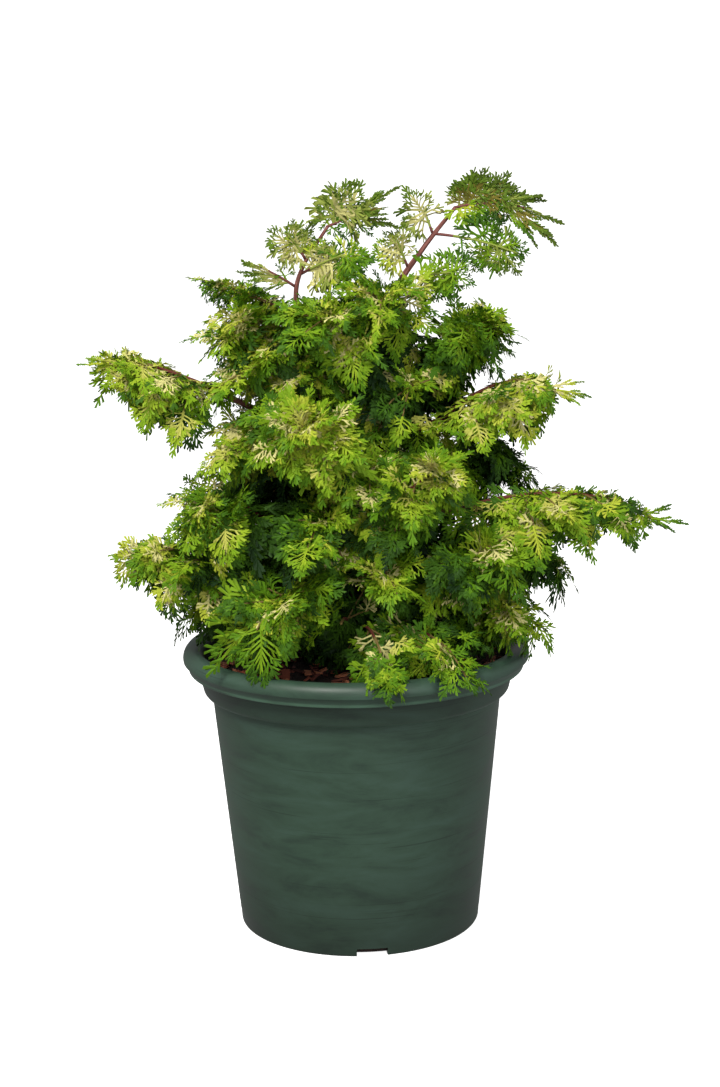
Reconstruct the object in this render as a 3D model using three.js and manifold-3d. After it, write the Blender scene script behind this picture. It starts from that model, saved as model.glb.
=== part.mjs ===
// A dwarf hinoki cypress in its round nursery pot: one leaning trunk with a second stem, ten main boughs,
// and masses of flat, fan-shaped sprays. Units are millimetres, +Z is up, the plant's front faces -Y,
// and the origin is the centre of the pot's flat underside.
import * as THREE from "three";
import { mergeVertices } from "three/addons/utils/BufferGeometryUtils.js";
import Module from "manifold-3d";

const wasm = await Module();
wasm.setup();

// ---- driving dimensions ----
const POT = {
  height: 237, // to the top of the rolled rim
  footRadius: 100,
  floor: 3,
  wall: 2.4,
  shoulderHeight: 197, // where the straight wall meets the collar
  shoulderRadius: 119.6,
  collarHeight: 214, // where the collar's inside meets the rolled rim
  lipHeight: 219.5, // the sharp lower edge of the rolled rim
  lipRadius: 138.5,
  beadRadius: 134.5, // middle of the rolled rim
  beadWide: 8.5, // half its width
  beadTall: 9, // half its height
  sides: 48,
};
const DRAIN = { count: 3, width: 25, height: 7, deep: 16, firstAzimuth: -84.5 };
const SOIL = { centre: 222, edge: 219, gap: 0.3 };
const CLEAR = 0.3; // left between pieces that meet
const TRUNK_SIDES = 12;
const BOUGH_SIDES = 6;
const BOUGH_STEPS = 5;
const STEM_SIDES = 3;
const FLARE = { extra: 6, height: 9 }; // the root flare: added radius at the soil, and how fast it fades
const FAN = { teeth: 4, spread: 58, notch: 0.76, thick: 1.7, cup: 0.25 }; // one blade stands for a spray
const STEM_RADIUS = { root: 2.2, tip: 1.4, slim: 0.7 }; // slim: the leaders' share of it
const TWIG_RADIUS = { root: 0.7, tip: 0.9 };
const HANG = [1.4, -0.4, 0.5]; // how far a mass's pairs of sprays hang in turn, or rise
const SPACE_SLACK = 0.6; // how far, in shares of its width, a mass may lean over the edge of its own space
const LIMB_MARGIN = 1.4; // kept to trunk, stems and boughs
const LEAF_GAP = 0.4; // kept between sprays
const SIZES = [1, 0.82, 0.66]; // a spray that finds no room at full size is tried smaller

// ---- the plant's limbs ----
// Each path runs through its points. The trunk starts with a flat cut on the soil.
const TRUNK = {
  name: "trunk",
  path: [
    [-5, 0, SOIL.centre + CLEAR],
    [-1, 3, 262],
    [6, 6, 325],
    [14, 6, 385],
    [21, 4, 435],
    [27, -2, 482],
    [36, -6, 525],
    [59, -10, 560],
    [84, -12, 591],
  ],
  radii: [12.5, 11, 9.6, 8.2, 6.6, 4.7, 3.2, 2.4, 1.9],
};
const SECOND_STEM = {
  name: "second_stem",
  from: 430,
  path: [
    [-10, -8, 462],
    [-38, -14, 500],
    [-43, -19, 526],
    [-36, -20, 549],
    [-17, -20, 578],
  ],
  radii: [3.6, 3.2, 2.6, 2.2, 1.9, 1.6],
};
// A bough leaves the trunk at the height "from", arches up by "arch" halfway, and ends at its tip.
const BOUGHS = [
  { name: "left_arm_bough", from: 398, tip: [-110, -40, 454], arch: -4, radius: 3.4 },
  { name: "right_arm_bough", from: 396, tip: [72, -32, 426], arch: 2, radius: 3.2 },
  { name: "right_low_arm_bough", from: 318, tip: [98, -50, 360], arch: 4, radius: 3.6 },
  { name: "left_low_arm_bough", from: 262, tip: [-98, -48, 302], arch: 2, radius: 3.2 },
  { name: "front_upper_bough", from: 366, tip: [-27, -82, 408], arch: -7, radius: 3.2 },
  { name: "front_centre_bough", from: 282, tip: [27, -80, 356], arch: -8, radius: 3.4 },
  { name: "right_mid_bough", from: 264, tip: [62, -62, 298], arch: 2, radius: 3.2 },
  { name: "low_front_left_bough", from: 243, tip: [-42, -66, 284], arch: 4, radius: 3.2 },
  { name: "upper_right_bough", from: 446, tip: [66, -16, 466], arch: 2, radius: 2.8 },
  { name: "mid_left_bough", from: 304, tip: [-74, -44, 352], arch: 4, radius: 3.4 },
];

// ---- the masses of foliage ----
// on: the limb whose tip carries it, or the stem it leaves at the height "at". tip is its furthest point.
// arch lifts its stem halfway, wide is the reach of its side sprays, and pairs is how many of them it has.
// droop is how far the sprays hang. A mass with a face shows its sprays flat to that side, and an arm
// has no sprays that rise above its stem.
const FRONT = [0, -1, 0.2];
const MASSES = [
  // the two leaders, open to the sky
  { name: "top_spray", on: "trunk_tip", tip: [174, -26, 574], arch: 10, wide: 27, pairs: 5, droop: 0.2, face: FRONT },
  { name: "nodding_spray", on: "trunk", at: 572, tip: [150, -44, 548], arch: 4, wide: 25, pairs: 4, droop: 0.6, face: FRONT },
  { name: "leader_right", on: "trunk", at: 537, tip: [97, -36, 543], arch: 1, wide: 24, pairs: 3, droop: 0, face: FRONT },
  { name: "leader_left", on: "trunk", at: 545, tip: [30, -26, 587], arch: 0, wide: 30, pairs: 3, droop: 0, face: FRONT },
  { name: "leader_top_left", on: "trunk", at: 571, tip: [53, -14, 609], arch: 0, wide: 22, pairs: 3, droop: 0, face: FRONT },
  { name: "left_top_spray", on: "second_stem_tip", tip: [34, -26, 600], arch: 0, wide: 24, pairs: 4, droop: 0.2, face: FRONT },
  { name: "left_fan", on: "second_stem", at: 553, tip: [-58, -34, 580], arch: 4, wide: 25, pairs: 3, droop: 0, face: FRONT },
  { name: "left_thin_spray", on: "second_stem", at: 532, tip: [-94, -36, 556], arch: 3, wide: 18, pairs: 3, droop: 0.3, face: FRONT },
  { name: "left_inner_fan", on: "second_stem", at: 543, tip: [12, -46, 562], arch: 2, wide: 26, pairs: 3, droop: 0, face: FRONT },
  // the upper crown
  { name: "upper_left_tip", on: "second_stem", at: 506, tip: [-127, -8, 541], arch: 4, wide: 31, pairs: 4, droop: 0.25 },
  { name: "upper_left", on: "second_stem", at: 482, tip: [-126, -50, 500], arch: 12, wide: 55, pairs: 5, droop: 0.6 },
  { name: "upper_front_left", on: "trunk", at: 462, tip: [-46, -104, 498], arch: 26, wide: 55, pairs: 5, droop: 0.8 },
  { name: "crown_left", on: "second_stem", at: 490, tip: [-16, -54, 524], arch: 4, wide: 34, pairs: 4, droop: 0.3 },
  { name: "upper_front", on: "trunk", at: 494, tip: [22, -86, 508], arch: 22, wide: 51, pairs: 5, droop: 0.9 },
  { name: "upper_right", on: "upper_right_bough", tip: [127, -26, 484], arch: 20, wide: 55, pairs: 5, droop: 0.9 },
  // the middle
  { name: "left_arm", on: "left_arm_bough", tip: [-208, -42, 487], arch: 3, wide: 50, pairs: 6, droop: 0.7, arm: true },
  { name: "left_crest", on: "second_stem", at: 462, tip: [-116, -72, 460], arch: 12, wide: 50, pairs: 5, droop: 0.7 },
  { name: "mid_left", on: "trunk", at: 380, tip: [-118, -84, 410], arch: 22, wide: 57, pairs: 5, droop: 0.8 },
  { name: "front_upper", on: "front_upper_bough", tip: [-46, -136, 424], arch: 16, wide: 55, pairs: 5, droop: 0.9 },
  { name: "centre", on: "trunk", at: 346, tip: [14, -128, 384], arch: 24, wide: 49, pairs: 5, droop: 1 },
  { name: "front_right", on: "front_centre_bough", tip: [86, -122, 396], arch: 14, wide: 53, pairs: 5, droop: 0.9 },
  { name: "centre_right", on: "trunk", at: 420, tip: [72, -90, 446], arch: 20, wide: 51, pairs: 5, droop: 0.9 },
  { name: "right_arm", on: "right_arm_bough", tip: [180, -44, 444], arch: 21, wide: 50, pairs: 6, droop: 0.7, arm: true },
  { name: "right_dark", on: "trunk", at: 358, tip: [154, 4, 384], arch: 20, wide: 55, pairs: 5, droop: 0.9 },
  // the lower middle
  { name: "left_shoulder", on: "mid_left_bough", tip: [-145, -76, 346], arch: 16, wide: 57, pairs: 5, droop: 0.8 },
  { name: "front_left", on: "trunk", at: 312, tip: [-42, -140, 340], arch: 24, wide: 55, pairs: 5, droop: 0.9 },
  { name: "front_low", on: "trunk", at: 264, tip: [38, -142, 304], arch: 26, wide: 55, pairs: 5, droop: 0.9 },
  { name: "right_mid", on: "right_mid_bough", tip: [138, -108, 330], arch: 14, wide: 53, pairs: 5, droop: 0.9 },
  { name: "right_low_arm", on: "right_low_arm_bough", tip: [256, -58, 346], arch: 14, wide: 51, pairs: 7, droop: 0.7, arm: true },
  // round the rim
  { name: "left_low_arm", on: "left_low_arm_bough", tip: [-190, -58, 331], arch: 11, wide: 50, pairs: 5, droop: 0.7, arm: true },
  { name: "low_left", on: "trunk", at: 254, tip: [-150, -30, 274], arch: 18, wide: 53, pairs: 5, droop: 0.9 },
  { name: "low_front_left", on: "low_front_left_bough", tip: [-84, -134, 268], arch: 18, wide: 57, pairs: 5, droop: 1 },
  { name: "low_front", on: "trunk", at: 246, tip: [-14, -138, 268], arch: 16, wide: 47, pairs: 5, droop: 1 },
  { name: "rim_front", on: "trunk", at: 241, tip: [26, -160, 238], arch: 26, wide: 42, pairs: 5, droop: 0.8 },
  { name: "rim_front_right", on: "trunk", at: 243, tip: [96, -146, 234], arch: 26, wide: 49, pairs: 5, droop: 0.8 },
  { name: "low_right", on: "trunk", at: 250, tip: [160, -62, 266], arch: 20, wide: 54, pairs: 5, droop: 0.8 },
  { name: "right_skirt", on: "trunk", at: 300, tip: [184, -18, 308], arch: 20, wide: 56, pairs: 5, droop: 0.8 },
];
// The back is finished like the front: rings of masses whose azimuths run from the right round to the left.
const BACK_RINGS = [
  { name: "back_low", at: 262, azimuths: [32, 88, 146], reach: 150, height: 274, arch: 24, wide: 60, droop: 0.9 },
  { name: "back_mid", at: 338, azimuths: [58, 116, 168], reach: 144, height: 362, arch: 26, wide: 58, droop: 0.9 },
  { name: "back_high", at: 412, azimuths: [38, 96, 152], reach: 112, height: 452, arch: 28, wide: 54, droop: 0.9 },
];
const BACK_SWAY = [0, 26, -12]; // each ring's masses reach differently, as the front's do
const RADIANS = Math.PI / 180;
for (const ring of BACK_RINGS) {
  ring.azimuths.forEach((azimuth, i) => {
    const reach = ring.reach + BACK_SWAY[i];
    const tip = [reach * Math.cos(azimuth * RADIANS), reach * Math.sin(azimuth * RADIANS), ring.height + BACK_SWAY[i] / 2];
    const { at, arch, wide, droop } = ring;
    MASSES.push({ name: `${ring.name}_${i + 1}`, on: "trunk", at: at + 7 * i, tip, arch, wide, pairs: 5, droop });
  });
}

// ---- small tools ----
const UP = new THREE.Vector3(0, 0, 1);
const vec = (p) => new THREE.Vector3(...p);

/** A repeatable stream of numbers from 0 to 1. */
function seeded(seed) {
  let state = seed >>> 0;
  return () => {
    state = (Math.imul(state, 1664525) + 1013904223) >>> 0;
    return state / 4294967296;
  };
}

/** The part of a that is square to the unit vector b, at unit length. */
function squareTo(a, b) {
  return a.clone().addScaledVector(b, -a.dot(b)).normalize();
}

function solidOf(geometry) {
  const bare = geometry.clone();
  bare.deleteAttribute("normal");
  bare.deleteAttribute("uv");
  const merged = mergeVertices(bare, 1e-4);
  const vertProperties = new Float32Array(merged.attributes.position.array);
  const triVerts = new Uint32Array(merged.index.array);
  return new wasm.Manifold(new wasm.Mesh({ numProp: 3, vertProperties, triVerts }));
}

function geometryOf(solid) {
  const mesh = solid.getMesh();
  const geometry = new THREE.BufferGeometry();
  geometry.setAttribute("position", new THREE.BufferAttribute(new Float32Array(mesh.vertProperties), 3));
  geometry.setIndex(new THREE.BufferAttribute(new Uint32Array(mesh.triVerts), 1));
  geometry.computeVertexNormals();
  return geometry;
}

/** A closed geometry from points and triangles. */
function closedGeometry(points, faces) {
  const geometry = new THREE.BufferGeometry();
  geometry.setAttribute("position", new THREE.Float32BufferAttribute(points.flatMap((p) => [p.x, p.y, p.z]), 3));
  geometry.setIndex(faces.flat());
  return geometry;
}

/** A closed tapering limb: rings of n corners square to the path, with flat ends. first turns the first ring. */
function limb(points, radii, sides, first) {
  const last = points.length - 1;
  const corners = [];
  let across = null;
  points.forEach((point, i) => {
    const along = points[Math.min(i + 1, last)].clone().sub(points[Math.max(i - 1, 0)]).normalize();
    if (i === 0 && first) along.copy(first);
    across = squareTo(across ?? (Math.abs(along.z) > 0.9 ? new THREE.Vector3(1, 0, 0) : UP), along);
    const other = new THREE.Vector3().crossVectors(along, across);
    for (let k = 0; k < sides; k++) {
      const turn = (2 * Math.PI * k) / sides;
      corners.push(
        point.clone()
          .addScaledVector(across, radii[i] * Math.cos(turn))
          .addScaledVector(other, radii[i] * Math.sin(turn)),
      );
    }
  });
  const faces = [];
  for (let i = 0; i < last; i++) {
    for (let k = 0; k < sides; k++) {
      const a = i * sides + k;
      const b = i * sides + ((k + 1) % sides);
      faces.push([a, b, b + sides], [a, b + sides, a + sides]);
    }
  }
  for (let k = 1; k < sides - 1; k++) {
    faces.push([0, k + 1, k], [last * sides, last * sides + k, last * sides + k + 1]);
  }
  return closedGeometry(corners, faces);
}

/** A smooth path with its radius, read by its height. */
class Stem {
  constructor(points, radii, steps) {
    this.curve = new THREE.CatmullRomCurve3(points, false, "catmullrom", 0.5);
    this.radii = radii;
    this.steps = steps;
  }

  /** The radius at a place along the path, with the root flare that fades with height above the soil. */
  radiusAt(t) {
    const place = t * (this.radii.length - 1);
    const i = Math.min(Math.floor(place), this.radii.length - 2);
    const height = this.curve.getPoint(t).z - SOIL.centre - CLEAR;
    return THREE.MathUtils.lerp(this.radii[i], this.radii[i + 1], place - i) + FLARE.extra * Math.exp(-height / FLARE.height);
  }

  /** Where the path passes a height, found by halving. */
  at(height) {
    let low = 0;
    let high = 1;
    for (let i = 0; i < 40; i++) {
      const t = (low + high) / 2;
      if (this.curve.getPoint(t).z < height) low = t;
      else high = t;
    }
    const point = this.curve.getPoint(low);
    const taper = (this.radiusAt(low) - this.radiusAt(low + 0.005)) / point.distanceTo(this.curve.getPoint(low + 0.005));
    return { point, along: this.curve.getTangent(low), radius: this.radiusAt(low), taper };
  }

  rings(extra = []) {
    const even = Array.from({ length: this.steps + 1 }, (_, i) => i / this.steps);
    const ts = [...even, ...extra].sort((a, b) => a - b);
    return { points: ts.map((t) => this.curve.getPoint(t)), radii: ts.map((t) => this.radiusAt(t)) };
  }
}

/** Points of an arch from root to tip that rises by "arch" halfway. */
function archPoints(root, tip, arch, steps) {
  const middle = root.clone().add(tip).multiplyScalar(0.5).addScaledVector(UP, 2 * arch);
  const curve = new THREE.QuadraticBezierCurve3(root, middle, tip);
  return Array.from({ length: steps + 1 }, (_, i) => curve.getPoint(i / steps));
}

/** Where a branch leaves a stem at a height towards a tip: just clear of its skin, and the way it sets off. */
function leave(stem, height, tip, arch) {
  const { point, along, radius, taper } = stem.at(height);
  const aim = tip.clone().sub(point).multiplyScalar(0.5).addScaledVector(UP, 2 * arch);
  const square = squareTo(aim, along);
  const out = square.clone().addScaledVector(along, taper).normalize(); // square to the tapering skin
  return { root: point.clone().addScaledVector(square, radius).addScaledVector(out, CLEAR), out };
}

/** The point at a share t, from 0 to 1, of a path of equal steps. */
function pointOn(path, t) {
  const i = Math.min(Math.floor(t * (path.length - 1)), path.length - 2);
  return path[i].clone().lerp(path[i + 1], t * (path.length - 1) - i);
}

function distanceToPath(p, path) {
  let best = Infinity;
  for (let i = 0; i + 1 < path.length; i++) {
    const ab = path[i + 1].clone().sub(path[i]);
    const t = THREE.MathUtils.clamp(p.clone().sub(path[i]).dot(ab) / ab.lengthSq(), 0, 1);
    best = Math.min(best, p.distanceTo(path[i].clone().addScaledVector(ab, t)));
  }
  return best;
}

// ---- the pot and its soil ----
function arcPoints(x, z, wide, tall, fromDegrees, toDegrees, steps) {
  return Array.from({ length: steps + 1 }, (_, i) => {
    const turn = THREE.MathUtils.lerp(fromDegrees, toDegrees, i / steps) * RADIANS;
    return new THREE.Vector2(x + wide * Math.cos(turn), z + tall * Math.sin(turn));
  });
}

function latheSolid(profile) {
  const points = profile.map((p) => (p.isVector2 ? p : new THREE.Vector2(...p)));
  return solidOf(new THREE.LatheGeometry(points, POT.sides).rotateX(Math.PI / 2));
}

const beadHeight = POT.height - POT.beadTall;
const innerBead = POT.beadRadius - POT.beadWide;
const innerShoulder = POT.shoulderRadius - POT.wall + 1.6;

function pot() {
  const profile = [
    [0, 0],
    [POT.footRadius - 2.5, 0],
    [POT.footRadius, 2.5],
    [POT.shoulderRadius, POT.shoulderHeight],
    [POT.shoulderRadius + 5, POT.shoulderHeight + 1.2],
    [POT.shoulderRadius + 7.5, POT.shoulderHeight + 6],
    [POT.lipRadius - 7, POT.lipHeight - 2.5],
    [POT.lipRadius - 0.8, POT.lipHeight - 1],
    [POT.lipRadius, POT.lipHeight],
    ...arcPoints(POT.beadRadius, beadHeight, POT.beadWide, POT.beadTall, -15, 180, 7),
    [innerBead + 0.3, POT.collarHeight],
    [innerShoulder, POT.shoulderHeight + 1],
    [POT.footRadius - POT.wall, POT.floor],
    [0, POT.floor],
  ];
  let solid = latheSolid(profile);
  for (let i = 0; i < DRAIN.count; i++) {
    const notch = new THREE.BoxGeometry(DRAIN.deep * 2, DRAIN.width, DRAIN.height * 2)
      .translate(POT.footRadius, 0, 0)
      .rotateZ((DRAIN.firstAzimuth + (i * 360) / DRAIN.count) * RADIANS);
    solid = solid.subtract(solidOf(notch));
  }
  return solid;
}

function soil() {
  return latheSolid([
    [0, POT.floor + SOIL.gap],
    [POT.footRadius - POT.wall - SOIL.gap, POT.floor + SOIL.gap],
    [innerShoulder - SOIL.gap, POT.shoulderHeight + 1],
    [innerBead - SOIL.gap, POT.collarHeight],
    [innerBead - SOIL.gap, SOIL.edge],
    [30, SOIL.centre],
    [0, SOIL.centre],
  ]);
}

// ---- limbs ----
const stems = {};

function buildTrunk() {
  stems.trunk = new Stem(TRUNK.path.map(vec), TRUNK.radii, 18);
  const { points, radii } = stems.trunk.rings([0.012, 0.03]); // two more rings near the soil curve the flare
  return solidOf(limb(points, radii, TRUNK_SIDES, UP));
}

function buildSecondStem() {
  const path = SECOND_STEM.path.map(vec);
  const { root, out } = leave(stems.trunk, SECOND_STEM.from, path[0], 0);
  stems.second_stem = new Stem([root, ...path], SECOND_STEM.radii, 12);
  const { points, radii } = stems.second_stem.rings();
  return solidOf(limb(points, radii, BOUGH_SIDES, out));
}

/** Every limb's path and radius, for what has to stay clear of it. */
const limbPaths = [];

function buildBough(bough) {
  const tip = vec(bough.tip);
  const { root, out } = leave(stems.trunk, bough.from, tip, bough.arch);
  const points = archPoints(root, tip, bough.arch, BOUGH_STEPS);
  const radii = points.map((_, i) => THREE.MathUtils.lerp(bough.radius, bough.radius * 0.6, i / BOUGH_STEPS));
  bough.end = { point: tip, along: tip.clone().sub(points.at(-2)).normalize() };
  limbPaths.push({ points, radius: bough.radius });
  return solidOf(limb(points, radii, BOUGH_SIDES, out));
}

// ---- foliage ----
/** The stem of a mass: from its bough's tip or its trunk to short of its furthest point, where its last fan starts. */
function stemOf(mass) {
  const tip = vec(mass.tip);
  let root;
  let out;
  if (mass.on.endsWith("_tip")) {
    const { curve } = stems[mass.on.slice(0, -4)];
    out = curve.getTangent(1);
    root = curve.getPoint(1).addScaledVector(out, CLEAR);
  } else if (stems[mass.on]) {
    ({ root, out } = leave(stems[mass.on], mass.at, tip, mass.arch));
  } else {
    const { end } = BOUGHS.find((b) => b.name === mass.on);
    out = end.along;
    root = end.point.clone().addScaledVector(out, CLEAR);
  }
  const reach = root.distanceTo(tip);
  const share = 1 - Math.min(0.45, (mass.wide * 0.85) / reach);
  const middle = root.clone().add(tip).multiplyScalar(0.5).addScaledVector(UP, 2 * mass.arch);
  const curve = new THREE.QuadraticBezierCurve3(root, middle, tip);
  const points = Array.from({ length: 5 }, (_, i) => curve.getPoint((share * i) / 4));
  const slim = mass.face ? STEM_RADIUS.slim : 1;
  const radii = points.map((_, i) => slim * THREE.MathUtils.lerp(STEM_RADIUS.root, STEM_RADIUS.tip, i / 4));
  return { points, radii, curve, share, out, bare: solidOf(limb(points, radii, STEM_SIDES, out)) };
}

/** A three-sided twig along a path that opens, at its end, into a toothed, cupped fan with a sharp rim. */
function fanned(path, radii, way, facing, length, first) {
  const ends = path.length - 1;
  const points = [];
  path.forEach((p, i) => {
    let along = path[Math.min(i + 1, ends)].clone().sub(path[Math.max(i - 1, 0)]).normalize();
    if (i === 0 && first) along = first;
    if (i === ends) along = way;
    const up = squareTo(facing, along);
    const across = new THREE.Vector3().crossVectors(up, along);
    for (const [side, lift] of [[-0.87, -0.5], [0.87, -0.5], [0, 1]]) {
      points.push(p.clone().addScaledVector(across, side * radii[i]).addScaledVector(up, lift * radii[i]));
    }
  });
  const faces = [[0, 2, 1]];
  for (let i = 0; i < ends; i++) {
    for (const [a, b] of [[0, 1], [1, 2], [2, 0]]) {
      faces.push([3 * i + a, 3 * i + b, 3 * i + 3 + b], [3 * i + a, 3 * i + 3 + b, 3 * i + 3 + a]);
    }
  }
  const up = squareTo(facing, way);
  const across = new THREE.Vector3().crossVectors(up, way);
  const at = (forward, side, lift) =>
    path[ends].clone().addScaledVector(way, forward).addScaledVector(across, side).addScaledVector(up, lift);
  const [left, right, crest] = [3 * ends, 3 * ends + 1, 3 * ends + 2];
  const outline = [left];
  const last = 2 * FAN.teeth - 2;
  for (let i = 0; i <= last; i++) {
    const turn = THREE.MathUtils.lerp(-FAN.spread, FAN.spread, i / last) * RADIANS;
    const far = length * (i % 2 ? FAN.notch : 1) * (0.62 + 0.38 * Math.cos(turn));
    outline.push(points.push(at(far * Math.cos(turn), far * Math.sin(turn), -FAN.cup * far * Math.sin(turn) ** 2)) - 1);
  }
  outline.push(right);
  const top = points.push(at(length * 0.35, 0, FAN.thick * 0.5)) - 1;
  const under = points.push(at(length * 0.35, 0, -FAN.thick * 0.5)) - 1;
  for (let i = 0; i + 1 < outline.length; i++) {
    faces.push([outline[i], outline[i + 1], top], [outline[i + 1], outline[i], under]);
  }
  faces.push([right, crest, top], [crest, left, top], [left, right, under]);
  const rim = [path[0].clone().lerp(path[ends], 0.6), path[ends], ...outline.slice(1, -1).map((i) => points[i])];
  return { rim, apex: points[top], solid: solidOf(closedGeometry(points, faces)) };
}

/** Points spread over a fan, by which its place is judged. */
function samples(points, apex) {
  const near = points.flatMap((p) => [p.clone().lerp(apex, 0.35), p.clone().lerp(apex, 0.7)]);
  return [...points, ...near];
}

/** Whether points stay in a mass's own space, nearer its stem than any other's by their widths, and clear of limbs. */
function keepsToSpace(points, mass) {
  return points.every((p) => {
    const own = distanceToPath(p, mass.stem.points) / mass.wide - SPACE_SLACK;
    for (const other of MASSES) {
      if (other === mass) continue;
      const away = distanceToPath(p, other.stem.points);
      if (own > away / other.wide || away < STEM_RADIUS.root + LIMB_MARGIN) return false;
    }
    const radius = Math.hypot(p.x, p.y);
    const overRim = radius > innerBead - 3 && radius < POT.beadRadius + POT.beadWide + 1.5;
    if (p.z < (overRim ? POT.height + 1.5 : SOIL.centre + 1.5)) return false;
    return limbPaths.every((l) => distanceToPath(p, l.points) > l.radius + LIMB_MARGIN);
  });
}

/** Limbs, stems and sprays already there, to which a new spray must keep a gap, unless it grows from them. */
const grown = [];

function keepsClear(solid, mass) {
  const { min, max } = solid.boundingBox();
  return grown.every((other) => {
    if (other.bears === mass) return true;
    const apart = [0, 1, 2].some((k) => other.min[k] > max[k] + LEAF_GAP || other.max[k] < min[k] - LEAF_GAP);
    return apart || other.solid.minGap(solid, LEAF_GAP) >= LEAF_GAP;
  });
}

/** The largest size at which the spray that make(size) builds has room, or 0. */
function roomFor(mass, make) {
  for (const size of SIZES) {
    const { rim, apex, solid } = make(size);
    if (!keepsToSpace(samples(rim, apex), mass) || !keepsClear(solid, mass)) continue;
    grown.push({ solid, ...solid.boundingBox() });
    mass.sprays += 1;
    return size;
  }
  return 0;
}

/** Grows one mass: a stem that ends in a spray, and side sprays by turns left and right. */
function growMass(mass, seed) {
  const random = seeded(seed);
  const { points, radii: stemRadii, curve, share, out, bare } = mass.stem;
  const facing = mass.face ? vec(mass.face).normalize() : UP;
  const solids = [];
  mass.sprays = 0;
  const end = points[4];
  const ahead = curve.getTangent(share).addScaledVector(UP, -0.35 * mass.droop).normalize();
  const longest = Math.min(mass.wide * 1.05, end.distanceTo(vec(mass.tip)) * 1.1);
  const lastSpray = (path, radii, size, first) => fanned(path, radii, ahead, facing, longest * size, first);
  const short = [end.clone().addScaledVector(ahead, -2), end];
  const lastSize = roomFor(mass, (size) => lastSpray(short, stemRadii.slice(3), size));
  solids.push(lastSize ? lastSpray(points, stemRadii, lastSize, out).solid : bare);
  const count = mass.pairs * 2;
  for (let i = 0; i < count; i++) {
    const t = share * (0.25 + (0.72 * (i + 0.5)) / count);
    const side = i % 2 ? 1 : -1;
    const along = curve.getTangent(t);
    const across = new THREE.Vector3().crossVectors(along, squareTo(facing, along));
    const angle = THREE.MathUtils.lerp(75, 38, i / count) * RADIANS;
    const turn = HANG[Math.floor(i / 2) % HANG.length];
    const hang = mass.droop * (turn < 0 && mass.arm ? 0.1 : turn) + 0.2 * (random() - 0.5);
    const way = along.clone().multiplyScalar(Math.cos(angle))
      .addScaledVector(across, side * Math.sin(angle))
      .addScaledVector(UP, -hang)
      .normalize();
    const swell = mass.face ? 1.25 - (0.8 * i) / count : 1.12 - 0.42 * (i / count) ** 2;
    const reach = mass.wide * swell * (0.9 + 0.2 * random());
    const root = pointOn(points, t / share);
    const twig = (size) => [root, root.clone().addScaledVector(way, 0.3 * reach * size)];
    const radii = [TWIG_RADIUS.root, TWIG_RADIUS.tip];
    const spray = (size) => fanned(twig(size), radii, way, facing, 0.8 * reach * size);
    const size = roomFor(mass, spray);
    if (size) solids.push(spray(size).solid);
  }
  return fuse(solids);
}

/** Joins solids into one: sealed hollows are filled and loose scraps dropped. */
function fuse(solids) {
  const joined = wasm.Manifold.union(solids);
  const bodies = joined.decompose().filter((body) => body.volume() > 0);
  bodies.sort((a, b) => b.volume() - a.volume());
  return bodies[0].simplify(0.02);
}

// ---- the scene graph ----
const FINISH = {
  pot: { color: 0x41564a, roughness: 0.5 },
  soil: { color: 0x4a2c22, roughness: 0.95 },
  bark: { color: 0x6e4038, roughness: 0.8 },
  foliage: { color: 0x6f9a34, roughness: 0.65 },
};
const plant = new THREE.Group();
plant.name = "dwarf_hinoki_cypress";

function add(name, solid, finish) {
  const material = new THREE.MeshStandardMaterial({ ...FINISH[finish], metalness: 0 });
  const mesh = new THREE.Mesh(geometryOf(solid), material);
  mesh.name = name;
  plant.add(mesh);
  if (finish === "bark") grown.push({ solid, ...solid.boundingBox() });
}

add("pot", pot(), "pot");
add("potting_soil", soil(), "soil");
add("trunk", buildTrunk(), "bark");
add("second_stem", buildSecondStem(), "bark");
for (const stem of Object.values(stems)) limbPaths.push({ points: stem.rings().points, radius: stem.radii[2] });
BOUGHS.forEach((bough) => add(bough.name, buildBough(bough), "bark"));
MASSES.forEach((mass) => (mass.stem = stemOf(mass)));
MASSES.forEach((mass) => grown.push({ solid: mass.stem.bare, bears: mass, ...mass.stem.bare.boundingBox() }));
MASSES.forEach((mass, i) => add(mass.name, growMass(mass, 101 + i), "foliage"));

export default plant;
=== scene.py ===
"""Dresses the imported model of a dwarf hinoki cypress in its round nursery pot.

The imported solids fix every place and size. This script grows the same limbs and masses by the same rule,
carries them to finer twigs and lace-like sprays, and gives the pot, the soil and the bark real surfaces.
Sizes are in millimetres, and become metres where a mesh is made. +Z is up, and the plant's front faces -Y.
"""

import logging
import math
from dataclasses import dataclass, field
from enum import Enum
from typing import Any

import bmesh
import bpy
import numpy as np
from mathutils import Matrix


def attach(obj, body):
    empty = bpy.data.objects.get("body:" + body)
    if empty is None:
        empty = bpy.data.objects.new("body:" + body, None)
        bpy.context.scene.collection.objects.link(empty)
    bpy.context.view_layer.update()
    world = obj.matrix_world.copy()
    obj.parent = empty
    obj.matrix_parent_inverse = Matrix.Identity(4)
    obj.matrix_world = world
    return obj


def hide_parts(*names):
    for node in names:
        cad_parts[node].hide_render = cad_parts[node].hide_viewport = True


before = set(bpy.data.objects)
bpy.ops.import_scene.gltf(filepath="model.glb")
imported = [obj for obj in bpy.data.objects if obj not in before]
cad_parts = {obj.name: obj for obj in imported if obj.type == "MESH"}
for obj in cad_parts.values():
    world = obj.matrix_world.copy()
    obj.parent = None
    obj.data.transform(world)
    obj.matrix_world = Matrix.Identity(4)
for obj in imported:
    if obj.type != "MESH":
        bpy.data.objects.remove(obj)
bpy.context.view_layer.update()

MM = 0.001
UP = np.array([0.0, 0.0, 1.0])
SIDEWAYS = np.array([1.0, 0.0, 0.0])
Array = np.ndarray
Pair = tuple[float, float]
Place = tuple[float, float, float]
Row = tuple[float, ...]
Stops = tuple[tuple[float, str], ...]
Socket = bpy.types.NodeSocket
Tree = bpy.types.NodeTree
Material = bpy.types.Material
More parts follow.
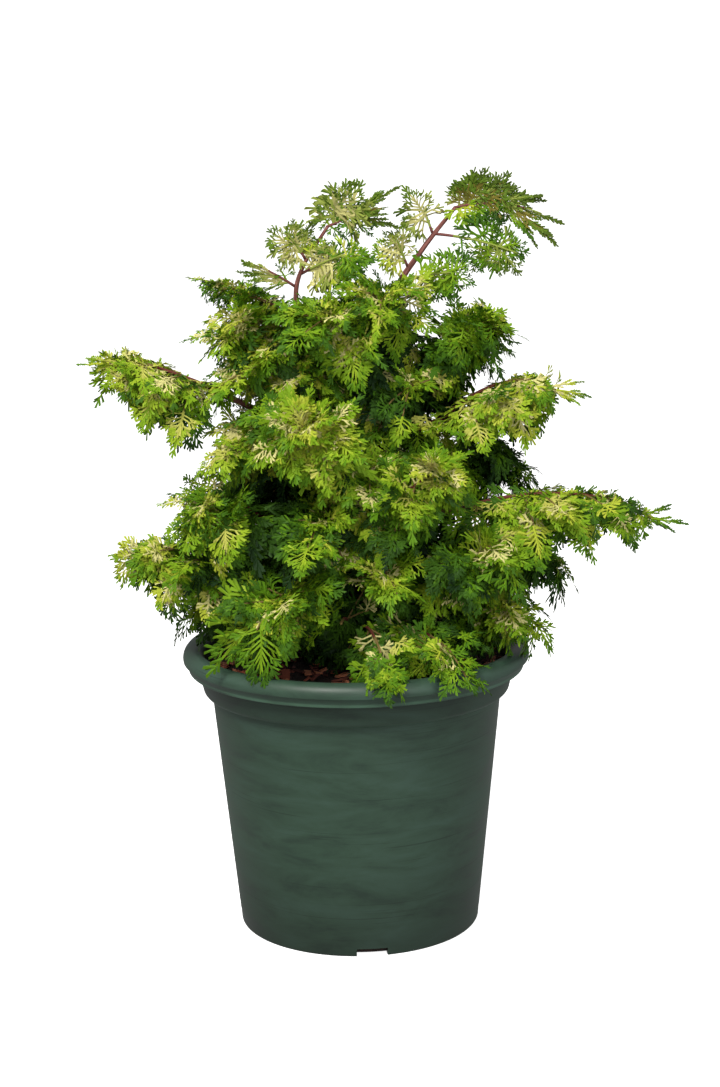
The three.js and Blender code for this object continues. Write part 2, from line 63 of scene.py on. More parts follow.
Piece = bpy.types.Object
Chance = np.random.Generator

logging.basicConfig(level=logging.INFO, format="%(message)s")
log = logging.getLogger("cypress")


# ---- small tools ----
def unit(v: Array) -> Array:
    """Each vector divided by its length."""
    return v / np.linalg.norm(v, axis=-1, keepdims=True)


def square_to(a: Array, b: Array) -> Array:
    """The part of a that is square to the unit vector b, at unit length: a minus its shadow on b."""
    return unit(a - b * np.sum(a * b, axis=-1, keepdims=True))


def blend(a: Any, b: Any, share: Any) -> Any:
    """The value at a share of the way from a to b."""
    return a + (b - a) * share


def colour(text: str) -> tuple[float, float, float, float]:
    """A linear colour from an sRGB hex value.

    Args:
        text: the colour, written "#RRGGBB".

    Returns:
        Linear red, green, blue and an alpha of 1.
    """
    levels = [int(text[i : i + 2], 16) / 255 for i in (1, 3, 5)]
    linear = [c / 12.92 if c <= 0.04045 else ((c + 0.055) / 1.055) ** 2.4 for c in levels]
    return (*linear, 1.0)


class Seeded:
    """The repeatable stream of numbers from 0 to 1 by which the masses grow."""

    def __init__(self, seed: int) -> None:
        """Starts the stream at a seed."""
        self.state = seed

    def draw(self) -> float:
        """The next number: the state times a constant plus another, cut to 32 bits."""
        self.state = (self.state * 1664525 + 1013904223) % 2**32
        return self.state / 2**32


def add_object(name: str, data: bpy.types.ID) -> Piece:
    """A new object of its data, linked to the scene.

    Args:
        name: the object's name.
        data: its mesh, lamp or camera.

    Returns:
        The object.
    """
    made = bpy.data.objects.new(name, data)
    bpy.context.scene.collection.objects.link(made)
    return made


def make_piece(
    name: str,
    points: Array,
    faces: Array,
    materials: list[Material],
    tones: Array | None = None,
    smooth: bool = True,
    vectors: dict[str, Array] | None = None,
) -> Piece:
    """Makes an object at the origin from whole arrays, with its place in its mesh.

    Args:
        name: the piece's name.
        points: n corners, in millimetres.
        faces: m triangles or quads, as corner numbers.
        materials: the piece's finishes, in the order that tones counts them.
        tones: the finish of each face; the first one where left out.
        smooth: whether the faces are shaded as one curved surface.
        vectors: named vectors, one for each corner, that a pattern follows.

    Returns:
        The new object, linked to the scene.
    """
    mesh = bpy.data.meshes.new(name)
    count, corners = faces.shape
    mesh.vertices.add(len(points))
    mesh.vertices.foreach_set("co", (np.asarray(points) * MM).astype(np.float32).ravel())
    mesh.loops.add(faces.size)
    mesh.loops.foreach_set("vertex_index", faces.astype(np.int32).ravel())
    mesh.polygons.add(count)
    mesh.polygons.foreach_set("loop_start", np.arange(0, faces.size, corners, dtype=np.int32))
    if tones is not None:
        mesh.polygons.foreach_set("material_index", tones.astype(np.int32))
    mesh.polygons.foreach_set("use_smooth", np.full(count, smooth))
    for label, values in (vectors or {}).items():
        layer = mesh.attributes.new(label, "FLOAT_VECTOR", "POINT")
        layer.data.foreach_set("vector", (values * MM).astype(np.float32).ravel())
    for material in materials:
        mesh.materials.append(material)
    mesh.update(calc_edges=True)
    return add_object(name, mesh)


def hand_over(piece: Piece, slot: str, *nodes: str) -> None:
    """Sets a piece on the part's one body, and lets it stand for its solids.

    Args:
        piece: the piece.
        slot: its finish's slot; not used.
        nodes: the solids that it stands for, if any.
    """
    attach(piece, "root")
    if nodes:
        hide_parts(*nodes)
    log.info("%s: %d faces", piece.name, len(piece.data.polygons))


# ---- finishes ----
def new_material(name: str, inputs: dict[str, Any]) -> tuple[Material, Tree, bpy.types.Node]:
    """Makes a Principled material.

    Args:
        name: its name.
        inputs: what is plain about it, as values of the shader's inputs.

    Returns:
        The material, its node tree and its shader.
    """
    material = bpy.data.materials.new(name)
    material.use_nodes = True
    shader = material.node_tree.nodes["Principled BSDF"]
    for key, value in inputs.items():
        shader.inputs[key].default_value = value
    return material, material.node_tree, shader


def add_node(
    tree: Tree, kind: str, inputs: dict[str | int, Any] | None = None, **settings: Any
) -> bpy.types.Node:
    """Adds a node with its settings, and sets or links its inputs.

    Args:
        tree: the tree to add to.
        kind: the node's type, such as "ShaderNodeTexNoise".
        inputs: for each input, by name or number, a value to set or an output to link.
        settings: the node's own properties.

    Returns:
        The new node.
    """
    node = tree.nodes.new(kind)
    for key, value in settings.items():
        setattr(node, key, value)
    for key, value in (inputs or {}).items():
        if isinstance(value, Socket):
            tree.links.new(value, node.inputs[key])
        else:
            node.inputs[key].default_value = value
    return node


def add_ramp(tree: Tree, value: Socket, stops: Stops) -> Socket:
    """Adds a colour ramp.

    Args:
        tree: the tree to add to.
        value: the output, from 0 to 1, that it colours.
        stops: for each stop a place from 0 to 1 and an sRGB hex value.

    Returns:
        The ramp's colour.
    """
    ramp = add_node(tree, "ShaderNodeValToRGB", {"Fac": value})
    elements = ramp.color_ramp.elements
    while len(elements) < len(stops):
        elements.new(0.5)
    for element, (place, text) in zip(elements, stops):
        element.position = place
        element.color = colour(text)
    return ramp.outputs["Color"]


def add_noise(tree: Tree, where: Socket, scale: Any, **inputs: float) -> Socket:
    """Adds noise.

    Args:
        tree: the tree to add to.
        where: the vector that it follows.
        scale: its lumps in a metre, one number or one for each axis.
        inputs: its other inputs, by name.

    Returns:
        The noise, from 0 to 1.
    """
    if isinstance(scale, tuple):
        where = add_node(tree, "ShaderNodeMapping", {"Vector": where, "Scale": scale}).outputs["Vector"]
        scale = 1.0
    return add_node(tree, "ShaderNodeTexNoise", {"Vector": where, "Scale": scale, **inputs}).outputs["Fac"]


def add_relief(tree: Tree, shader: bpy.types.Node, height: Socket, relief: Pair) -> None:
    """Gives a shader a bump by a height from 0 to 1, at a strength and a depth in millimetres.

    Args:
        tree: the material's node tree.
        shader: the shader node.
        height: the socket that gives the height.
        relief: the strength and the depth.
    """
    strength, deep = relief
    bump = add_node(tree, "ShaderNodeBump", {"Height": height, "Strength": strength, "Distance": deep * MM})
    tree.links.new(bump.outputs["Normal"], shader.inputs["Normal"])


class Tone(Enum):
    """The plain colours of the foliage, from the cream of young ribs to the dark of old, shaded sprays."""

    CREAM = "#DAD48A"
    STRAW = "#BFC05A"
    LIME = "#B4C03C"
    LEMON = "#9AB42C"
    GRASS = "#7A9E1E"
    LEAF = "#5A8418"
    FERN = "#42681A"
    DEEP = "#304E18"
    DUSK = "#203818"
    BEIGE = "#B8B470"
    SAGE = "#8F9D45"
    OLIVE = "#5F7A24"
    MOSS = "#506420"
    BRONZE = "#7C7430"
    PLUM = "#7C4C48"
    WOOD = "#6C3A30"
    TAN = "#7E6C3E"


class Palette(Enum):
    """How one spray is coloured: its heart, its middle and its tips."""

    IVORY = (Tone.CREAM, Tone.LIME, Tone.GRASS)
    GOLD = (Tone.STRAW, Tone.LEMON, Tone.GRASS)
    LEMON = (Tone.LIME, Tone.GRASS, Tone.LEAF)
    FRESH = (Tone.LEMON, Tone.GRASS, Tone.LEAF)
    FROSTED = (Tone.CREAM, Tone.GRASS, Tone.FERN)
    LEAFY = (Tone.GRASS, Tone.LEAF, Tone.FERN)
    SHADE = (Tone.LEAF, Tone.FERN, Tone.DEEP)
    DUSKY = (Tone.FERN, Tone.DEEP, Tone.DUSK)
    SANDY = (Tone.BEIGE, Tone.SAGE, Tone.OLIVE)
    SAGE = (Tone.SAGE, Tone.OLIVE, Tone.MOSS)
    BRONZED = (Tone.BRONZE, Tone.OLIVE, Tone.MOSS)


class Mood(Enum):
    """How often each palette is dealt out in a mass, in the order of Palette. The last three are only set. A
    mass's mood is its foliage's colour and in part painted light and shade: the masses low under the crown
    are darker.
    """

    BRIGHT = (34, 26, 14, 10, 12, 4, 0, 0)
    MIXED = (18, 18, 12, 18, 14, 14, 5, 0)
    GREEN = (6, 9, 8, 22, 12, 28, 14, 2)
    DARK = (1, 2, 2, 8, 8, 24, 34, 22)


TONES = list(Tone)
PALETTES = list(Palette)
# sprays near the trunk are dealt this darker mood: older foliage, and painted shade inside the crown
INNER_MOOD = Mood.DARK


@dataclass(frozen=True)
class Foliage:
    """Scale leaves pressed flat to their twig: waxy and faintly glossy. Each tone is one plain colour."""

    roughness: float = 0.5
    ior: float = 1.42
    specular: float = 0.14  # the scales' relief breaks the gloss up

    def materials(self) -> list[Material]:
        """One material for each tone, in the order of Tone.

        Returns:
            The materials.
        """
        wax = {"Roughness": self.roughness, "IOR": self.ior, "Specular IOR Level": self.specular}
        return [
            new_material(f"foliage_{tone.name.lower()}", {"Base Color": colour(tone.value), **wax})[0]
            for tone in Tone
        ]


@dataclass(frozen=True)
class Bark:
    """Young cypress bark: red-brown, in thin stringy strips that weather to grey-lilac. Dull."""

    strip_wide: float = 1.6  # millimetres across a strip
    strip_long: float = 16.0
    shades: Stops = ((0.3, "#3B211B"), (0.5, "#7F4840"), (0.72, "#A87268"))
    relief: Pair = (0.6, 0.4)
    roughness: float = 0.78

    def material(self) -> Material:
        """Strips from noise drawn out along the limb, by the vector "bark" that runs straight along it.

        Returns:
            The material.
        """
        material, tree, shader = new_material("bark_stringy", {"Roughness": self.roughness})
        along = add_node(tree, "ShaderNodeAttribute", attribute_name="bark").outputs["Vector"]
        wide, long = 1 / (self.strip_wide * MM), 1 / (self.strip_long * MM)
        strips = add_noise(tree, along, (wide, wide, long), Detail=3.0, Roughness=0.6)
        tree.links.new(add_ramp(tree, strips, self.shades), shader.inputs["Base Color"])
        add_relief(tree, shader, strips, self.relief)
        return material


@dataclass(frozen=True)
class PotPlastic:
    """Injection-moulded polypropylene, dyed dark green: a soft sheen, with faint rubbed bands round it."""

    shades: Stops = ((0.36, "#2C4034"), (0.50, "#354D3D"), (0.66, "#3C5547"))  # dulled, its own, and rubbed
    band_tall: float = 20.0  # millimetres from one rubbed band to the next
    band_across: float = 13.0  # bands in a metre round the pot
    scratch_tall: float = 1.1
    scratch_across: float = 7.0
    scratch_shades: Stops = ((0.29, "#A0A0A0"), (0.34, "#FFFFFF"))
    scratch_share: float = 0.55
    grain: float = 0.5  # the mould's fine texture
    relief: Pair = (0.12, 0.15)
    # heights in millimetres and shades, half of what brightens the colour there: darker towards the foot, a
    # lighter line at the ledge, painted shade on the collar under the rolled rim, darkest just under the lip,
    # a painted highlight along the lip's edge, and a little lighter towards the rim's top
    rings: Stops = (
        (0, "#909090"), (90, "#BEBEBE"), (196, "#BCBCBC"), (198, "#DADADA"), (200.5, "#A4A4A4"),
        (214, "#A8A8A8"), (217.8, "#707070"), (218.6, "#FFFFFF"), (220.2, "#FFFFFF"), (221.4, "#BCBCBC"),
        (240, "#C8C8C8"),
    )
    worn: Pair = (0.3, 0.7)  # the bands' noise, and the roughness that it gives
    roughness: Pair = (0.40, 0.56)
    ior: float = 1.49

    def material(self) -> Material:
        """Wide soft bands and thin scratches, both noise drawn out round the pot, over a fine grain.

        Returns:
            The material.
        """
        material, tree, shader = new_material("pot_moulded_polypropylene", {"IOR": self.ior})
        where = add_node(tree, "ShaderNodeTexCoord").outputs["Object"]
        across, tall = self.band_across, 1 / (self.band_tall * MM)
        wear = add_noise(tree, where, (across, across, tall), Detail=5.0, Roughness=0.66, Distortion=0.5)
        across, tall = self.scratch_across, 1 / (self.scratch_tall * MM)
        scratches = add_noise(tree, where, (across, across, tall), Detail=2.0, Roughness=0.5)
        colours = {6: add_ramp(tree, wear, self.shades), 7: add_ramp(tree, scratches, self.scratch_shades)}
        scratched = add_node(
            tree, "ShaderNodeMix", {0: self.scratch_share, **colours}, data_type="RGBA", blend_type="MULTIPLY"
        )
        ends = {"From Min": self.worn[0], "From Max": self.worn[1],
                "To Min": self.roughness[0], "To Max": self.roughness[1]}
        rough = add_node(tree, "ShaderNodeMapRange", {"Value": wear, **ends})
        # rings by height brighten or darken the colour: painted shade under the rim, and a painted highlight
        # on the lip's edge
        height = add_node(tree, "ShaderNodeSeparateXYZ", {"Vector": where}).outputs["Z"]
        low, high = self.rings[0][0] * MM, self.rings[-1][0] * MM
        span = add_node(tree, "ShaderNodeMapRange", {"Value": height, "From Min": low, "From Max": high})
        stops = tuple(((z * MM - low) / (high - low), shade) for z, shade in self.rings)
        shade = add_ramp(tree, span.outputs["Result"], stops)
        twice = add_node(tree, "ShaderNodeMath", {0: shade, 1: 2.0}, operation="MULTIPLY").outputs["Value"]
        ringed = add_node(tree, "ShaderNodeHueSaturation", {"Value": twice, "Color": scratched.outputs[2]})
        tree.links.new(ringed.outputs["Color"], shader.inputs["Base Color"])
        tree.links.new(rough.outputs["Result"], shader.inputs["Roughness"])
        add_relief(tree, shader, add_noise(tree, where, 1 / (self.grain * MM), Detail=2.0), self.relief)
        return material


@dataclass(frozen=True)
class PottingMix:
    """Peat and bark fines, damp: nearly black, in crumbs a millimetre or two across."""

    crumb: float = 1.8
    shades: Stops = ((0.35, "#120B08"), (0.55, "#2B1B14"), (0.75, "#4A2F23"))
    relief: Pair = (0.9, 1.2)
    roughness: float = 0.92

    def material(self) -> Material:
        """Crumbs from noise, dark brown to black, with their own relief.

        Returns:
            The material.
        """
        material, tree, shader = new_material("potting_mix_damp_peat", {"Roughness": self.roughness})
        where = add_node(tree, "ShaderNodeTexCoord").outputs["Object"]
        crumbs = add_noise(tree, where, 1 / (self.crumb * MM), Detail=4.0)
        tree.links.new(add_ramp(tree, crumbs, self.shades), shader.inputs["Base Color"])
        add_relief(tree, shader, crumbs, self.relief)
        return material


@dataclass(frozen=True)
class BarkChip:
    """Shredded softwood bark, damp: red-brown, fibrous, each shade a plain colour dealt out by chip."""

    shades: tuple[str, ...] = ("#8C4A36", "#A85C42", "#6E3A2C", "#C27A58", "#4A2820")
    roughness: float = 0.8

    def materials(self) -> list[Material]:
        """One material for each shade.

        Returns:
            The materials.
        """
        return [
            new_material(f"bark_chip_{i}", {"Base Color": colour(shade), "Roughness": self.roughness})[0]
            for i, shade in enumerate(self.shades, 1)
        ]


# ---- paths and tubes ----
@dataclass
class Spline:
    """A smooth path through its points."""

    knots: Array

    def point(self, t: Array | float) -> Array:
        """Places on the path: between two knots, the cubic whose slope at each is half the step across it.

        Args:
            t: shares of the path, from 0 to 1.

        Returns:
            One row for each share.
        """
        last = len(self.knots) - 1
        place = np.clip(np.atleast_1d(t), 0, 1) * last
        i = np.minimum(place.astype(int), last - 1)
        w = (place - i)[:, None]
        k = np.vstack([2 * self.knots[0] - self.knots[1], self.knots, 2 * self.knots[-1] - self.knots[-2]])
        before, a, b, after = k[i], k[i + 1], k[i + 2], k[i + 3]
        leave, arrive = 0.5 * (b - before), 0.5 * (after - a)
        square, cube = 3 * (b - a) - 2 * leave - arrive, 2 * (a - b) + leave + arrive
        return a + leave * w + square * w**2 + cube * w**3

    def tangent(self, t: Array | float) -> Array:
        """The path's direction at shares t, from two points close on either side."""
        t = np.atleast_1d(t)
        return unit(self.point(np.minimum(t + 1e-4, 1)) - self.point(np.maximum(t - 1e-4, 0)))


@dataclass
class Arch:
    """A path from root to tip that rises by "lift" halfway: a parabola."""

    root: Array
    tip: Array
    lift: float

    def middle(self) -> Array:
        """The corner that the parabola's ends point at."""
        return (self.root + self.tip) / 2 + UP * 2 * self.lift

    def point(self, t: Array | float) -> Array:
        """Places at shares t: root, corner and tip weighed by (1-t)^2, 2t(1-t) and t^2."""
        t = np.atleast_1d(t)[:, None]
        return (1 - t) ** 2 * self.root + 2 * t * (1 - t) * self.middle() + t**2 * self.tip

    def tangent(self, t: Array | float) -> Array:
        """The path's direction at shares t."""
        t = np.atleast_1d(t)[:, None]
        return unit((1 - t) * (self.middle() - self.root) + t * (self.tip - self.middle()))


def tubes(paths: Array, radii: Array, sides: int, reference: Array) -> tuple[Array, Array, Array]:
    """Closed round tubes along many paths of one length. A ring's corner is the path's point plus the radius
    times the cosine of its turn across and the sine of its turn along the other way square to the path.

    Args:
        paths: k paths of n points.
        radii: k by n radii, or k by n by sides.
        sides: corners in a ring.
        reference: a direction that no path follows, for each path or for all.

    Returns:
        The corners, the triangles, and each corner's place on a straightened tube.
    """
    k, n, _ = paths.shape
    along = unit(np.gradient(paths, axis=1))
    across = square_to(np.broadcast_to(np.reshape(reference, (-1, 1, 3)), along.shape), along)
    other = np.cross(along, across)
    turn = np.arange(sides) * 2 * math.pi / sides
    if radii.ndim == 2:
        radii = np.repeat(radii[:, :, None], sides, axis=2)
    ring = across[:, :, None] * np.cos(turn)[:, None] + other[:, :, None] * np.sin(turn)[:, None]
    skin = paths[:, :, None] + radii[..., None] * ring
    steps = np.linalg.norm(np.diff(paths, axis=1), axis=2)
    length = np.concatenate([np.zeros((k, 1)), np.cumsum(steps, 1)], axis=1)
    straight = np.stack(
        [radii * np.cos(turn), radii * np.sin(turn), np.repeat(length[:, :, None], sides, 2)], axis=-1
    )
    points = np.concatenate([skin.reshape(k, -1, 3), paths[:, [0, -1]]], axis=1)
    ends = length[:, [0, -1]]
    places = np.concatenate([straight.reshape(k, -1, 3), np.stack([0 * ends, 0 * ends, ends], -1)], axis=1)
    i, j = np.meshgrid(np.arange(n - 1), np.arange(sides), indexing="ij")
    a, b = i * sides + j, i * sides + (j + 1) % sides
    wall = np.stack([a, b, b + sides, a, b + sides, a + sides], -1).reshape(-1, 3)
    j = np.arange(sides)
    first = np.stack([np.full(sides, n * sides), (j + 1) % sides, j], -1)
    end = (n - 1) * sides
    last = np.stack([np.full(sides, n * sides + 1), end + j, end + (j + 1) % sides], -1)
    faces = np.vstack([wall, first, last])
    offset = (np.arange(k) * (n * sides + 2))[:, None, None]
    return points.reshape(-1, 3), (faces[None] + offset).reshape(-1, 3), places.reshape(-1, 3)


# ---- the limbs ----
@dataclass
class Stem:
    """A limb that other limbs leave, with a radius at each of its knots."""

    path: Spline
    radii: Array
    soil: float
    flare_extra: float = 6.0
    flare_fade: float = 9.0
    halvings: int = 40  # by which the path is searched for a height
    near: float = 0.005  # the share of the path over which its taper is measured

    def radius(self, t: Array | float) -> Array:
        """The radius at shares t: between the knots' radii, plus a root flare that fades with height.

        Args:
            t: the shares of the path.

        Returns:
            The radii.
        """
        place = np.atleast_1d(t) * (len(self.radii) - 1)
        height = self.path.point(t)[:, 2] - self.soil
        return np.interp(place, np.arange(len(self.radii)), self.radii) + self.flare_extra * np.exp(
            -height / self.flare_fade
        )

    def share_at(self, height: float) -> float:
        """The share of the path at a height, by halving.

        Args:
            height: the height.

        Returns:
            The share.
        """
        low, high = 0.0, 1.0
        for _ in range(self.halvings):
            t = (low + high) / 2
            low, high = (t, high) if self.path.point(t)[0, 2] < height else (low, t)
        return low

    def leave(self, height: float, tip: Array, lift: float, gap: float) -> tuple[Array, Array]:
        """Where a branch leaves towards a tip.

        Args:
            height: the height of the fork.
            tip: where the branch ends.
            lift: how far the branch arches up.
            gap: the clearance from the skin.

        Returns:
            The branch's root, just clear of the skin, and the way it sets off.
        """
        t = self.share_at(height)
        centre, along = self.path.point(t)[0], self.path.tangent(t)[0]
        square = square_to((tip - centre) / 2 + UP * 2 * lift, along)
        run = np.linalg.norm(self.path.point(t)[0] - self.path.point(t + self.near)[0])
        taper = (self.radius(t)[0] - self.radius(t + self.near)[0]) / run
        out = unit(square + along * taper)
        return centre + square * self.radius(t)[0] + out * gap, out


@dataclass
class Bough:
    """One tapering limb from the trunk to where its mass of foliage starts."""

    name: str
    start: float
    tip: Place
    lift: float
    radius: float

    def arch(self, trunk: Stem, gap: float) -> Arch:
        """The bough's path."""
        tip = np.array(self.tip, float)
        return Arch(trunk.leave(self.start, tip, self.lift, gap)[0], tip, self.lift)


@dataclass
class Limbs:
    """The trunk, the second stem and the boughs, with the relief of their bark."""

    soil_top: float = 222.3
    gap: float = 0.3
    trunk_path: tuple = (
        (-5, 0, 222.3), (-1, 3, 262), (6, 6, 325), (14, 6, 385), (21, 4, 435), (27, -2, 482), (36, -6, 525),
        (59, -10, 560), (84, -12, 591),
    )
    trunk_radii: tuple = (12.5, 11, 9.6, 8.2, 6.6, 4.7, 3.2, 2.4, 1.9)
    second_start: float = 430.0
    second_path: tuple = ((-10, -8, 462), (-38, -14, 500), (-43, -19, 526), (-36, -20, 549), (-17, -20, 578))
    second_radii: tuple = (3.6, 3.2, 2.6, 2.2, 1.9, 1.6)
    boughs: tuple = (
        Bough("left_arm_bough", 398, (-110, -40, 454), -4, 3.4),
        Bough("right_arm_bough", 396, (72, -32, 426), 2, 3.2),
        Bough("right_low_arm_bough", 318, (98, -50, 360), 4, 3.6),
        Bough("left_low_arm_bough", 262, (-98, -48, 302), 2, 3.2),
        Bough("front_upper_bough", 366, (-27, -82, 408), -7, 3.2),
        Bough("front_centre_bough", 282, (27, -80, 356), -8, 3.4),
        Bough("right_mid_bough", 264, (62, -62, 298), 2, 3.2),
        Bough("low_front_left_bough", 243, (-42, -66, 284), 4, 3.2),
        Bough("upper_right_bough", 446, (66, -16, 466), 2, 2.8),
        Bough("mid_left_bough", 304, (-74, -44, 352), 4, 3.4),
    )
    bough_taper: float = 0.6
    relief: float = 0.07  # depth of the bark's strips, in shares of the radius
    strips: int = 9  # strips round a limb
    slim: float = 0.78  # the bark's share of the solid's radius at a stem's tip
    stems: dict[str, Stem] = field(default_factory=dict)
    arches: dict[str, Arch] = field(default_factory=dict)

    def __post_init__(self) -> None:
        """Works out the stems and the boughs' paths."""
        trunk = Stem(Spline(np.array(self.trunk_path, float)), np.array(self.trunk_radii), self.soil_top)
        path = np.array(self.second_path, float)
        root, _ = trunk.leave(self.second_start, path[0], 0, self.gap)
        second = Stem(Spline(np.vstack([root, path])), np.array(self.second_radii), self.soil_top)
        self.stems = {"trunk": trunk, "second_stem": second}
        self.arches = {b.name: b.arch(trunk, self.gap) for b in self.boughs}

    def rugged(self, paths: Array, radii: Array, sides: int) -> Array:
        """Radii with bark relief: waves round the limb, whose places drift slowly along it, and swellings.

        Args:
            paths: k paths of n points.
            radii: k by n radii.
            sides: corners in a ring.

        Returns:
            k by n by sides radii.
        """
        turn = np.arange(sides) * 2 * math.pi / sides
        step = np.linalg.norm(np.diff(paths, axis=1, prepend=paths[:, :1]), axis=2)
        s = np.cumsum(step, axis=1)[..., None]
        drift = 1.3 * np.sin(s / 17 + 1.1) + 0.8 * np.sin(s / 7.3)
        waves = np.sin(self.strips * turn + drift) + 0.6 * np.sin((self.strips + 5) * turn - 1.7 * drift + 2)
        knobs = 0.6 * np.sin(s / 9.1) + 0.5 * np.sin(s / 3.7 + 2 * turn)
        return radii[..., None] * (1 + self.relief * (0.5 * waves + 0.35 * knobs))

    def limb_piece(self, name: str, path: Array, radii: Array, sides: int, bark: Material) -> None:
        """Makes one limb with bark relief and hands it over.

        Args:
            name: the limb's solid, for which the piece stands.
            path: the limb's line.
            radii: its radius at each point.
            sides: corners in a ring.
            bark: its finish.
        """
        reference = SIDEWAYS if abs(unit(path[-1] - path[0])[2]) > 0.7 else UP
        skin = self.rugged(path[None], radii[None], sides)
        points, faces, places = tubes(path[None], skin, sides, reference)
        piece = make_piece(f"{name}_bark", points, faces, [bark], vectors={"bark": places})
        hand_over(piece, "bark", name)

    def build(self) -> None:
        """Makes the trunk, the second stem and the boughs."""
        bark = Bark().material()
        for name, stem, rings, sides in (
            ("trunk", self.stems["trunk"], 260, 40),
            ("second_stem", self.stems["second_stem"], 120, 28),
        ):
            t = np.linspace(0, 1, rings)
            self.limb_piece(name, stem.path.point(t), stem.radius(t) * blend(1, self.slim, t), sides, bark)
        for bough in self.boughs:
            t = np.linspace(0, 1, 60)
            radii = bough.radius * blend(1, self.bough_taper, t)
            self.limb_piece(bough.name, self.arches[bough.name].point(t), radii, 20, bark)


# ---- one lobe, and how lobes make a spray ----
@dataclass(frozen=True)
class LobeForm:
    """The sizes of a lobe in millimetres, as it is at life size."""

    long: float
    gap: float  # from one branchlet to the next
    leaf_long: float
    leaf_wide: float
    leaf_angle: float  # degrees from the rib
    rib_wide: float
    bare: float  # bare share of the rib


class Lobe(Enum):
    """The kinds of lobe: a rib with branchlets by turns left and right."""

    SHORT = LobeForm(11, 2.4, 5.4, 1.9, 36, 1.4, 0.18)
    MIDDLE = LobeForm(17, 2.6, 6.0, 1.95, 36, 1.5, 0.32)
    LONG = LobeForm(24, 2.8, 6.6, 2.0, 35, 1.6, 0.40)
    SHOOT = LobeForm(22, 1.9, 4.8, 1.9, 22, 2.1, 0.04)
    BROAD = LobeForm(24, 2.6, 7.0, 2.6, 30, 1.8, 0.08)
    CORAL = LobeForm(17, 2.7, 5.8, 1.9, 38, 1.8, 0.34)


LOBES = list(Lobe)


@dataclass
class LobeShape:
    """One lobe drawn flat and one long: u runs ahead, v across and w up."""

    form: LobeForm
    seed: int
    fold: float = 0.3  # how deep a branchlet's fold is, in shares of its width
    corners: tuple = (  # ahead, across, and whether low
        (0, 0.30, 0), (0, -0.30, 1), (0.9, -0.5, 0), (1.04, 0.36, 1),
    )
    rib_rows: int = 3

    def build(self) -> tuple[Array, Array]:
        """Draws the rib as a strip about the axis, and each branchlet as a blunt finger of two triangles,
        folded from its root to its tip: a corner is the root plus its share ahead and its share across.

        Returns:
            The corners, and the triangles, the rib's first. A triangle's first corner is its root.
        """
        rng, form = np.random.default_rng(self.seed), self.form
        end = 1 - form.leaf_long / form.long
        count = max(2, round((end - form.bare) * form.long / form.gap))
        late = (np.arange(count) + 0.5 * rng.random(count)) / count
        side = np.where(np.arange(count) % 2, 1, -1)
        angle = math.radians(form.leaf_angle)
        place = np.append(form.bare + (end - form.bare) * late, [end * 0.96, end * 0.9, end * 0.92])
        turn = np.append(side * angle * rng.uniform(0.78, 1.2, count), [0, 0.85 * angle, -0.85 * angle])
        long = np.append(blend(1.12, 0.86, late), [1, 0.8, 0.8]) * rng.uniform(0.88, 1.14, count + 3)
        long = (long * form.leaf_long / form.long)[:, None]
        wide = (form.leaf_wide / form.long * rng.uniform(0.86, 1.14, count + 3))[:, None]
        tilt, roll = rng.uniform(-0.34, 0.30, (count + 3, 1)), rng.uniform(-0.34, 0.34, (count + 3, 1))
        root = np.stack([place, 0 * place], 1)
        way = np.stack([np.cos(turn), np.sin(turn)], 1)
        left = np.stack([-way[:, 1], way[:, 0]], 1)
        corners = []
        for ahead, across, low in self.corners:
            height = tilt * long * ahead + (roll * across - self.fold * low + 0.3) * wide
            corners.append(np.hstack([root + way * long * ahead + left * wide * across, height]))
        leaves = np.stack(corners, 1).reshape(-1, 3)
        first = 2 * self.rib_rows
        finger = np.array([[0, 1, 2], [0, 2, 3]])
        leaf_faces = (first + 4 * np.arange(count + 3)[:, None, None] + finger).reshape(-1, 3)
        s = np.linspace(0, end, self.rib_rows)
        half = form.rib_wide / form.long * blend(0.5, 0.32, s / end)
        rib = np.stack([np.stack([s, half, 0 * s], 1), np.stack([s, -half, 0 * s], 1)], 1).reshape(-1, 3)
        i = 2 * np.arange(self.rib_rows - 1)[:, None]
        rib_faces = np.hstack([i, i + 1, i + 3, i, i + 3, i + 2]).reshape(-1, 3)
        return np.vstack([rib, leaves]), np.vstack([rib_faces, leaf_faces])


@dataclass(frozen=True)
class SprayForm:
    """How lobes stand along the rachis of a spray that is one long."""

    stalk: float  # bare share of the rachis
    last: float  # share by which the last side lobe has left
    spread_first: float  # degrees at which the first side lobe leaves
    spread_last: float
    reach_first: float  # how far from the root the first side lobe ends
    reach_last: float
    curl: float  # how far a lobe bends outwards, in shares of its length
    crowding: float  # millimetres of spray for each lobe


class Form(Enum):
    """The kinds of spray. SHADE is an old one inside the crown."""

    FAN = SprayForm(0.03, 0.56, 78, 13, 0.60, 0.98, 0.14, 2.8)
    CORAL = SprayForm(0.16, 0.60, 96, 15, 0.66, 1.00, 0.34, 2.8)
    PLUME = SprayForm(0.12, 0.62, 21, 8, 0.62, 1.00, -0.06, 9.0)
    SHADE = SprayForm(0.04, 0.52, 78, 10, 0.66, 0.98, 0.04, 4.8)


FORMS = list(Form)


